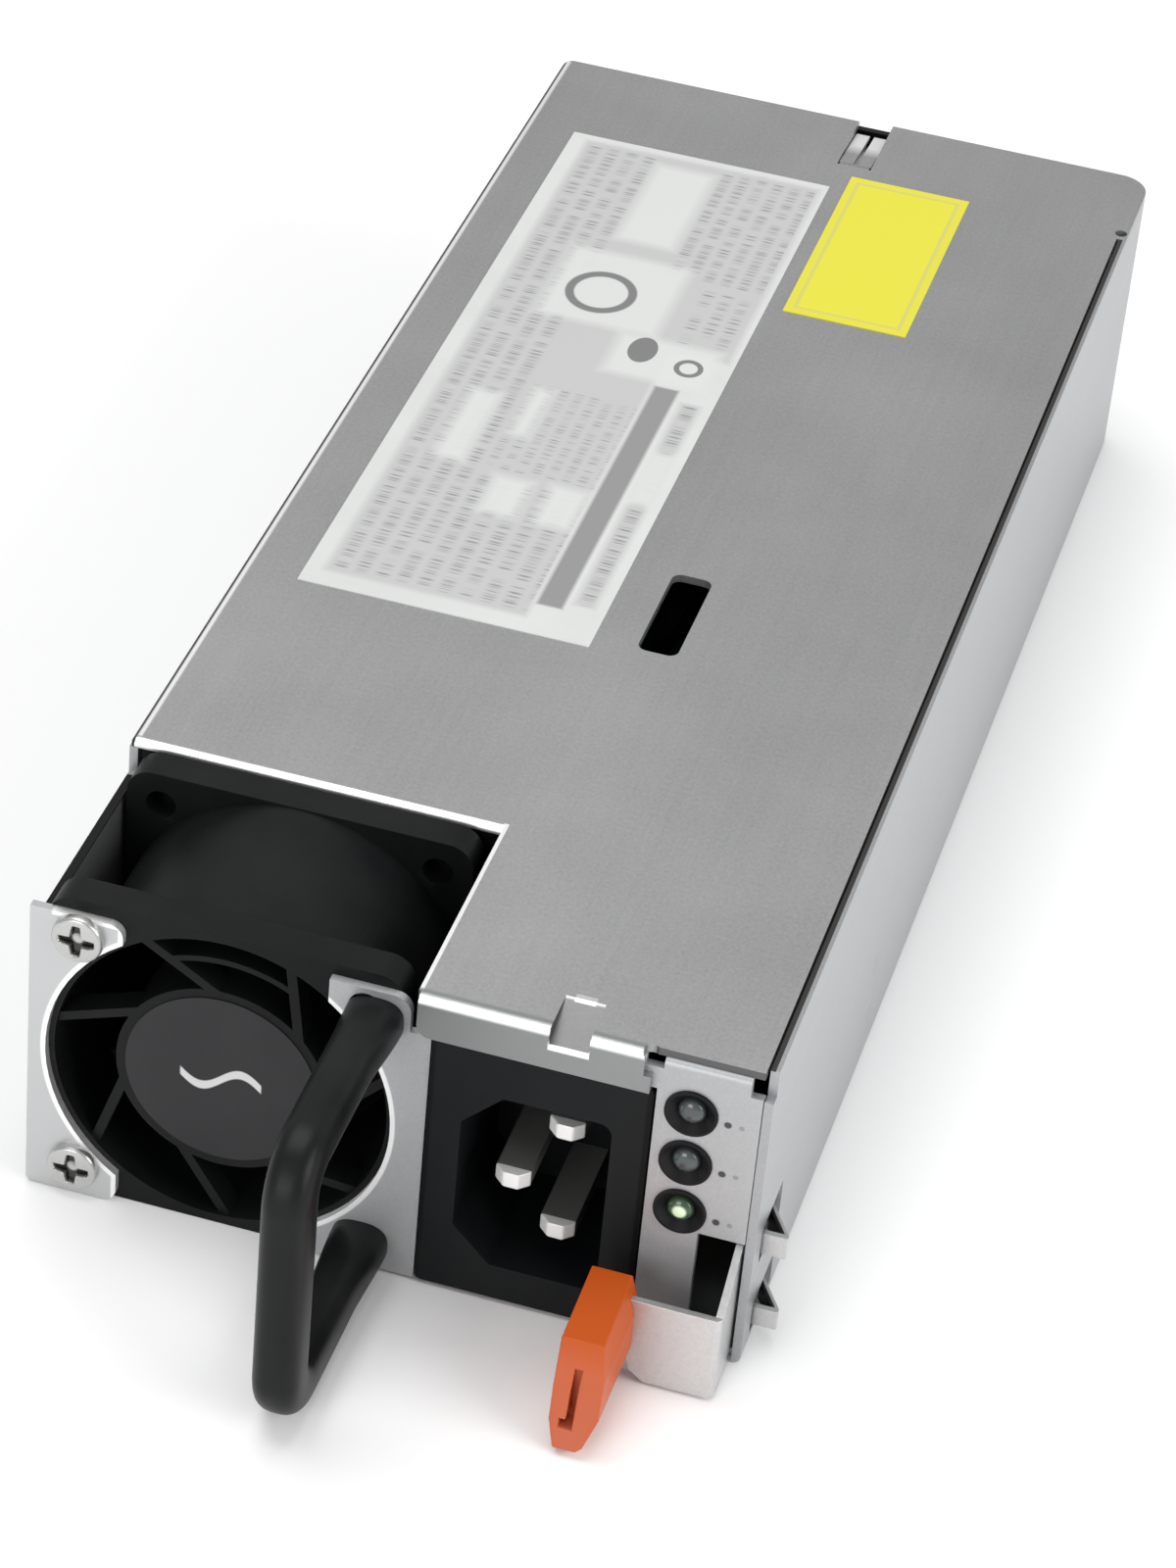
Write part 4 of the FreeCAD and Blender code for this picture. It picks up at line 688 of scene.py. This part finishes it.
def gripMaterial():
    # orange moulding with painted light: its front end paler
    low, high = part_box("latch_grip")
    reach, soft = grip["litFrontReach"] * mm, grip["litFrontSoft"] * mm
    litFront = boxZone((low[0] - mm, low[1] - soft, low[2] - soft),
                     (high[0] + mm, low[1] + reach, high[2] - reach), soft)
    return mouldMaterial("gripOrange", grip["orange"], 0.42, dusty=0.03, grain=1500.0,
                         marks=[(litFront, grip["litFront"])], Specular_IOR_Level=0.22)


inlet = {
    "black": (0.004, 0.005, 0.006),
    "shade": (0.0008, 0.0008, 0.001),
    "leftShade": 0.5,            # width of the dark upright edges
    "rightShade": 0.6,
}


def inletMaterial():
    # moulded black; painted shade on the flange's upright edges
    low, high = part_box("inlet_housing")
    marks = []
    for x0, x1 in ((low[0] - mm, low[0] + inlet["leftShade"] * mm),
                   (high[0] - inlet["rightShade"] * mm, high[0] + mm)):
        edge = boxZone((x0, low[1] - mm, low[2] - mm), (x1, low[1] + mm, high[2] + mm))
        marks.append((edge, inlet["shade"]))
    return mouldMaterial("inletBlack", inlet["black"], 0.48, dusty=0.03, marks=marks, Specular_IOR_Level=0.16)


litLens = {
    "green": (0.035, 0.075, 0.035),
    "lit": (0.75, 0.90, 0.62),
    "spot": 0.75,                # radius
}


def lensMaterial():
    # green lens, lit in a spot at its middle
    low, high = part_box("status_lens_lower")
    middle = ((low[0] + high[0]) / 2, low[1], (low[2] + high[2]) / 2)
    return mouldMaterial("lensGreen", litLens["green"], 0.2, Coat_Weight=0.4,
                         marks=[(dotZone(middle, litLens["spot"] * mm), litLens["lit"])])


dress(sheetMaterial("springSteel", hook["steel"], 0.34, marks=[(hookShade, hook["shade"])]), "latch_spring")
dress(bladeMaterial(), "line_blade", "neutral_blade", "earth_blade")
dress(flushScrewMaterial(), "cover_screws")
dress(gripMaterial(), "latch_grip")
dress(inletMaterial(), "inlet_housing")
dress(lensMaterial(), "status_lens_lower")

plainSheet = {  # tone, roughness, speckle, nodes
    "screwSteel": ((0.62, 0.62, 0.61), 0.28, 0.25, (
        "fan_screws", "handle_screws", "board_screws", "board_posts")),
    "rivetZinc": ((0.36, 0.37, 0.38), 0.36, 0.25, ("latch_rivets",)),
    "groundSteel": ((0.60, 0.60, 0.60), 0.20, 0.10, ("fan_shaft", "fan_bearings")),
    "contactGold": ((0.80, 0.52, 0.16), 0.25, 0.10, ("edge_contacts",)),
    "sinkAluminium": ((0.62, 0.62, 0.63), 0.40, 0.25, ("primary_heat_sink", "output_heat_sink")),
}
plainMould = {  # tone, roughness, other values, nodes
    "fanBlack": ((0.004, 0.0045, 0.0048), 0.46, {"dusty": 0.03, "Specular_IOR_Level": 0.14},
                 ("fan_frame", "fan_impeller")),
    "handleBlack": ((0.004, 0.0045, 0.0048), 0.38, {"Specular_IOR_Level": 0.16}, ("pull_handle",)),
    "collarBlack": ((0.004, 0.004, 0.005), 0.40, {"Specular_IOR_Level": 0.15}, ("lamp_collars",)),
    "lensDark": ((0.050, 0.060, 0.062), 0.20, {"Coat_Weight": 0.4},
                 ("status_lens_middle", "status_lens_upper")),
    "magnetBlack": ((0.02, 0.02, 0.02), 0.50, {}, (
        "fan_magnet_ring", "fan_stator_core", "transformer_core", "primary_transistors",
        "output_rectifiers", "inrush_relay", "fan_lead")),
    "copperWire": ((0.45, 0.17, 0.06), 0.35, {"grain": 900.0}, (
        "fan_windings", "line_filter_choke", "input_choke", "output_choke", "transformer_winding")),
    "boardGreen": ((0.02, 0.10, 0.04), 0.30, {}, (
        "main_board", "control_board", "lamp_board", "inlet_board", "fan_drive_board")),
    "sleeveBlack": ((0.02, 0.02, 0.03), 0.25, {}, ("bulk_capacitor", "output_capacitors")),
    "filmYellow": ((0.55, 0.45, 0.08), 0.35, {}, ("filter_capacitor", "fuse")),
    "insulator": ((0.50, 0.48, 0.38), 0.40, {}, ("insulation_sheet", "fan_socket")),
    "emitterResin": ((0.70, 0.70, 0.60), 0.20, {}, ("lamp_emitters",)),
}
for name, (tone, rough, speckle, pieces) in plainSheet.items():
    dress(sheetMaterial(name, tone, rough, speckle), *pieces)
for name, (tone, rough, values, pieces) in plainMould.items():
    dress(mouldMaterial(name, tone, rough, **values), *pieces)
print("finishes done")


def turned(name, centre, ahead, profile, sides, sink=None):
    # each ring k of the grid has radius r[k] and height h[k] from the profile, at angles t:
    # place = centre + r cos t * side + r sin t * up + (h - sink(r cos t, r sin t)) * ahead;
    # the first and last rings have radius 0 and close the piece
    radius, height = np.array(profile, float).T
    angle = np.linspace(0, 2 * np.pi, sides, endpoint=False)
    across = radius[:, None] * np.cos(angle)
    upward = radius[:, None] * np.sin(angle)
    rise = np.repeat(height[:, None], sides, axis=1)
    drop = np.zeros_like(rise) if sink is None else sink(across, upward, height[:, None])
    rise = rise - drop
    ahead = np.array(ahead, float)
    side = np.cross((0, 0, 1), ahead) if abs(ahead[2]) < 0.5 else np.array((1.0, 0, 0))
    up = np.cross(ahead, side)
    points = (np.array(centre) + across[..., None] * side + upward[..., None] * up + rise[..., None] * ahead)
    rings = len(radius)
    index = np.arange(rings * sides).reshape(rings, sides)
    following = np.roll(index, -1, axis=1)
    quads = np.stack([index[:-1], index[1:], following[1:], following[:-1]], axis=-1).reshape(-1, 4)
    mesh = bpy.data.meshes.new(name)
    mesh.from_pydata(points.reshape(-1, 3).tolist(), [], quads.tolist())
    # painted shade weight for the screw recesses: the sink depth, left out near the middle, kept on the mesh
    outward = np.clip(radius[:, None] / mm - 0.45, 0, 0.5) * 2
    mesh.attributes.new("recessShade", "FLOAT", "POINT").data.foreach_set("value", (drop * outward / mm).ravel())
    return finished(name, mesh)


def finished(name, mesh, smooth=40):
    # merges doubles, turns the faces outward and shades the piece smooth
    shape = bmesh.new()
    shape.from_mesh(mesh)
    bmesh.ops.remove_doubles(shape, verts=shape.verts, dist=1e-6)
    bmesh.ops.recalc_face_normals(shape, faces=shape.faces)
    shape.to_mesh(mesh)
    shape.free()
    mesh.polygons.foreach_set("use_smooth", np.ones(len(mesh.polygons), bool))
    mesh.set_sharp_from_angle(angle=math.radians(smooth))
    piece = bpy.data.objects.new(name, mesh)
    scene.collection.objects.link(piece)
    return piece


def wear(piece, material):
    piece.data.materials.clear()
    piece.data.materials.append(material)


def joined(name, pieces):
    meshes = [piece.data for piece in pieces]
    shape = bmesh.new()
    for mesh in meshes:
        shape.from_mesh(mesh)
    whole = bpy.data.meshes.new(name)
    shape.to_mesh(whole)
    shape.free()
    for material in meshes[0].materials:
        whole.materials.append(material)
    for piece in pieces:
        bpy.data.objects.remove(piece)
    piece = bpy.data.objects.new(name, whole)
    scene.collection.objects.link(piece)
    return piece


screwShape = {
    "shankRadius": 1.5 * mm,
    "barHalf": 0.55 * mm,     # recess bar, half its width
    "barReach": 1.95 * mm,    # from the middle to its end
    "barSlope": 0.12 * mm,    # width of the slope at its sides
    "depth": 0.85,            # recess, a share of the head's rise
    "rings": 34,
    "sides": 96,
}


def crossSink(depth):
    # depth of a cross recess: two bars, each falling off over a narrow slope, deepest in the middle
    half, reach, slope = screwShape["barHalf"], screwShape["barReach"], screwShape["barSlope"]

    def sink(x, y, height):
        def bar(a, b):
            taper = half * (1.25 - 0.55 * np.abs(b) / reach)
            side = np.clip((taper - np.abs(a)) / slope + 0.5, 0, 1)
            return side * np.clip((reach - np.abs(b)) / (2 * slope) + 0.5, 0, 1)
        cross = np.maximum(bar(x, y), bar(y, x))
        bowl = np.exp(-(x * x + y * y) / (reach * 0.55) ** 2)
        return np.where(height > 0, cross * depth * (0.62 + 0.38 * bowl), 0)
    return sink


def panScrew(name, seat, ahead, headRadius, rise, shankRadius, shank):
    # head: height = rise * sqrt(1 - 0.42 t^2) at radius 0.93 R t, t from 0 to 1, then three rings round
    # the rim down to the seat; after them the head's underside and the shank with its narrower end
    share = np.linspace(0, 1, screwShape["rings"])
    top = [(headRadius * 0.93 * t, rise * math.sqrt(1 - 0.42 * t * t)) for t in share]
    rim = [(headRadius * 0.985, rise * 0.62), (headRadius, rise * 0.42), (headRadius, 0.0)]
    under = [(shankRadius, 0.0), (shankRadius, -shank + 0.3 * mm), (shankRadius * 0.75, -shank), (0, -shank)]
    return turned(name, seat, ahead, top + rim + under, screwShape["sides"],
                  crossSink(rise * screwShape["depth"]))


brightScrew = {
    "steel": (0.52, 0.52, 0.51),
    "recessShade": (0.02, 0.02, 0.02),
    "starts": 0.12,              # depths in millimetres where the painted shade in the recess starts and is darkest
    "darkest": 0.55,
    "share": 0.92,
}


def recessShadeMark(graph):
    # painted shade towards the ends of the recess, from the depth times the way outward, kept on the mesh
    depth = graph.add("Attribute", attribute_name="recessShade").outputs["Fac"]
    return graph.range(depth, brightScrew["starts"], brightScrew["darkest"], 0.0, brightScrew["share"])


screwFinish = sheetMaterial("screwBright", brightScrew["steel"], 0.30, 0.1,
                            marks=[(recessShadeMark, brightScrew["recessShade"])])


def fanScrews():
    low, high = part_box("fan_screws")
    radius = (high[0] - low[0]) / 2
    x = (low[0] + high[0]) / 2
    seatAt = wall[0][1]
    made = []
    for number, z in enumerate((low[2] + radius, high[2] - radius)):
        made.append(panScrew("fanScrew%d" % number, (x, seatAt, z), (0, -1, 0), radius, seatAt - low[1],
                             screwShape["shankRadius"], high[1] - seatAt))
    piece = joined("fanScrewPair", made)
    wear(piece, screwFinish)
    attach(piece, "chassis")
    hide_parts("fan_screws")


fanScrews()


domeDepth = 0.9 * mm


def lampLenses():
    # a domed lens on each lamp: the nose is a cap of a sphere, the pipe goes back to its board
    for lamp in ("lower", "middle", "upper"):
        node = "status_lens_" + lamp
        low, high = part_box(node)
        radius = (high[0] - low[0]) / 2
        centre = ((low[0] + high[0]) / 2, low[1], (low[2] + high[2]) / 2)
        length = high[1] - low[1]
        turns = np.linspace(0, math.pi / 2, 14)
        cap = [(radius * math.sin(t), -domeDepth * (1 - math.cos(t))) for t in turns]
        profile = cap + [(radius, -length), (0, -length)]
        piece = turned("lampLens_" + lamp, centre, (0, -1, 0), profile, 48)
        wear(piece, nodes[node].data.materials[0])
        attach(piece, "chassis")
        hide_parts(node)


lampLenses()
print("screws and lenses made")


rearFlap = {
    "spans": ((41.85, 43.7), (44.3, 46.15)),   # millimetres from the left side
    "start": 187.7,                            # behind the front
    "end": 198.0,
    "drop": 1.1,                               # at the rear end
    "thick": 0.5,
}


def rearFlaps():
    # two thin plates that slope from the lid down towards the rear edge, a slit between them
    top = lid[1][2] - 0.03 * mm
    front = wall[0][1]
    y = [front + rearFlap["start"] * mm, front + rearFlap["end"] * mm]
    z = [top, top - rearFlap["drop"] * mm]
    for number, span in enumerate(rearFlap["spans"]):
        corners = [(wall[0][0] + x * mm, y[end], z[end] - side * rearFlap["thick"] * mm)
                   for x in span for end in (0, 1) for side in (0, 1)]
        quads = [(0, 1, 3, 2), (4, 6, 7, 5), (0, 4, 5, 1), (2, 3, 7, 6), (0, 2, 6, 4), (1, 5, 7, 3)]
        mesh = bpy.data.meshes.new("rearFlap%d" % number)
        mesh.from_pydata(corners, [], quads)
        piece = finished("rearFlap%d" % number, mesh)
        wear(piece, flapFinish)
        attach(piece, "chassis")


flapFinish = sheetMaterial("flapZinc", caseFinish["lidTone"], 0.42, marks=shades("flap"))
rearFlaps()
print("rear flaps made")


handle = {
    "bend": 4.6 * mm,          # of the middle line
    "footLength": 10 * mm,
    "footTop": (34.9 * mm, 2.85 * mm, 3.2 * mm),   # height of its middle, half thickness, half width
    "footLow": (3.5 * mm, 2.85 * mm, 3.2 * mm),
    "power": 2.7,              # 2 is an oval section, more is squarer
    "sides": 72,
    "halfThick": 3.1 * mm,
    "halfWidth": 2.7 * mm,
    "middle": 38.7 * mm,       # right of the left side
}


def handleRoute(low, high):
    # the middle line in the YZ plane as straight runs and quarter turns, with the section's half sizes
    # along it: from the lower foot, forward, round, up the bar, round and back to the upper foot;
    # near a foot the height and half sizes pass smoothly, by 3t^2 - 2t^3, to the foot's own
    bend, foot = handle["bend"], handle["footLength"]
    halfThick, halfWidth = handle["halfThick"], handle["halfWidth"]
    front, back = low[1] + halfThick, high[1]
    bottom, top = low[2] + halfThick, high[2] - halfThick
    runs = []
    for height, shape, sign in ((bottom, handle["footLow"], 1), (top, handle["footTop"], -1)):
        level = height - wall[0][2]
        t = np.linspace(0, 1, 24)
        blend = 3 * t ** 2 - 2 * t ** 3
        turn = np.linspace(0, math.pi / 2, 20)[1:]
        straight = np.linspace(back - foot, front + bend, 12)[1:]
        ahead = len(straight) + len(turn)
        y = np.concatenate([back - foot * t, straight, front + bend - bend * np.sin(turn)])
        z = np.concatenate([shape[0] + (level - shape[0]) * blend, np.full(len(straight), level),
                            level + sign * bend * (1 - np.cos(turn))])
        thick = np.concatenate([shape[1] + (halfThick - shape[1]) * blend, np.full(ahead, halfThick)])
        wide = np.concatenate([shape[2] + (halfWidth - shape[2]) * blend, np.full(ahead, halfWidth)])
        runs.append(np.stack([y, z + wall[0][2], thick, wide], axis=1))
    return np.concatenate([runs[0], runs[1][::-1]])


def makeHandle():
    # place = middle(s) + wide(s) C(t) * X + thick(s) S(t) * normal(s), where C and S are the
    # cosine and sine raised to 2/power with their signs kept; the normal is square to the route
    low, high = (np.array(corner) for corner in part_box("pull_handle"))
    route = handleRoute(low, high)
    along = np.gradient(route[:, :2], axis=0)
    along = along / np.linalg.norm(along, axis=1, keepdims=True)
    angle = np.linspace(0, 2 * np.pi, handle["sides"], endpoint=False)
    power = 2 / handle["power"]
    cosine = np.sign(np.cos(angle)) * np.abs(np.cos(angle)) ** power
    sine = np.sign(np.sin(angle)) * np.abs(np.sin(angle)) ** power
    x = wall[0][0] + handle["middle"] + route[:, 3:4] * cosine
    y = route[:, 0:1] - along[:, 1:2] * route[:, 2:3] * sine
    z = route[:, 1:2] + along[:, 0:1] * route[:, 2:3] * sine
    rings, sides = x.shape
    points = np.stack([x, y, z], axis=-1).reshape(-1, 3)
    index = np.arange(rings * sides).reshape(rings, sides)
    following = np.roll(index, -1, axis=1)
    quads = np.stack([index[:-1], index[1:], following[1:], following[:-1]], axis=-1).reshape(-1, 4)
    caps = [index[0].tolist(), index[-1].tolist()]
    mesh = bpy.data.meshes.new("handleBar")
    mesh.from_pydata(points.tolist(), [], quads.tolist() + caps)
    piece = finished("handleBar", mesh, 50)
    wear(piece, bpy.data.materials["handleBlack"])
    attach(piece, "chassis")
    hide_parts("pull_handle")


makeHandle()
print("handle made")


softening = {  # node: body, edge width in millimetres, segments, smallest angle of a sharp edge
    "base_tray": ("chassis", 0.16, 2),
    "top_cover": ("chassis", 0.16, 2, 17),
    "face_plate": ("chassis", 0.16, 2),
    "inlet_housing": ("chassis", 0.3, 2),
    "fan_frame": ("chassis", 0.25, 2),
    "latch_spring": ("latch", 0.14, 2),
    "latch_grip": ("latch", 0.6, 3),
    "line_blade": ("chassis", 0.25, 2),
    "neutral_blade": ("chassis", 0.25, 2),
    "earth_blade": ("chassis", 0.25, 2),
}


def soften(node, body, width, segments, sharp=30):
    # a merged copy with its sharp edges bevelled
    source = nodes[node]
    mesh = source.data.copy()
    mesh.name = "soft_" + node
    shape = bmesh.new()
    shape.from_mesh(mesh)
    bmesh.ops.remove_doubles(shape, verts=shape.verts, dist=2e-6)
    shape.to_mesh(mesh)
    shape.free()
    mesh.polygons.foreach_set("use_smooth", np.ones(len(mesh.polygons), bool))
    mesh.set_sharp_from_angle(angle=math.radians(sharp))
    piece = bpy.data.objects.new("soft_" + node, mesh)
    scene.collection.objects.link(piece)
    bevel = piece.modifiers.new("edges", "BEVEL")
    bevel.width = width * mm
    bevel.segments = segments
    bevel.limit_method = "ANGLE"
    bevel.angle_limit = math.radians(sharp + 2)
    bevel.harden_normals = True
    even = piece.modifiers.new("evenShading", "WEIGHTED_NORMAL")
    even.keep_sharp = True
    even.weight = 100
    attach(piece, body)
    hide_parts(node)
    return piece


for node, settings in softening.items():
    soften(node, *settings)
print("edges softened")
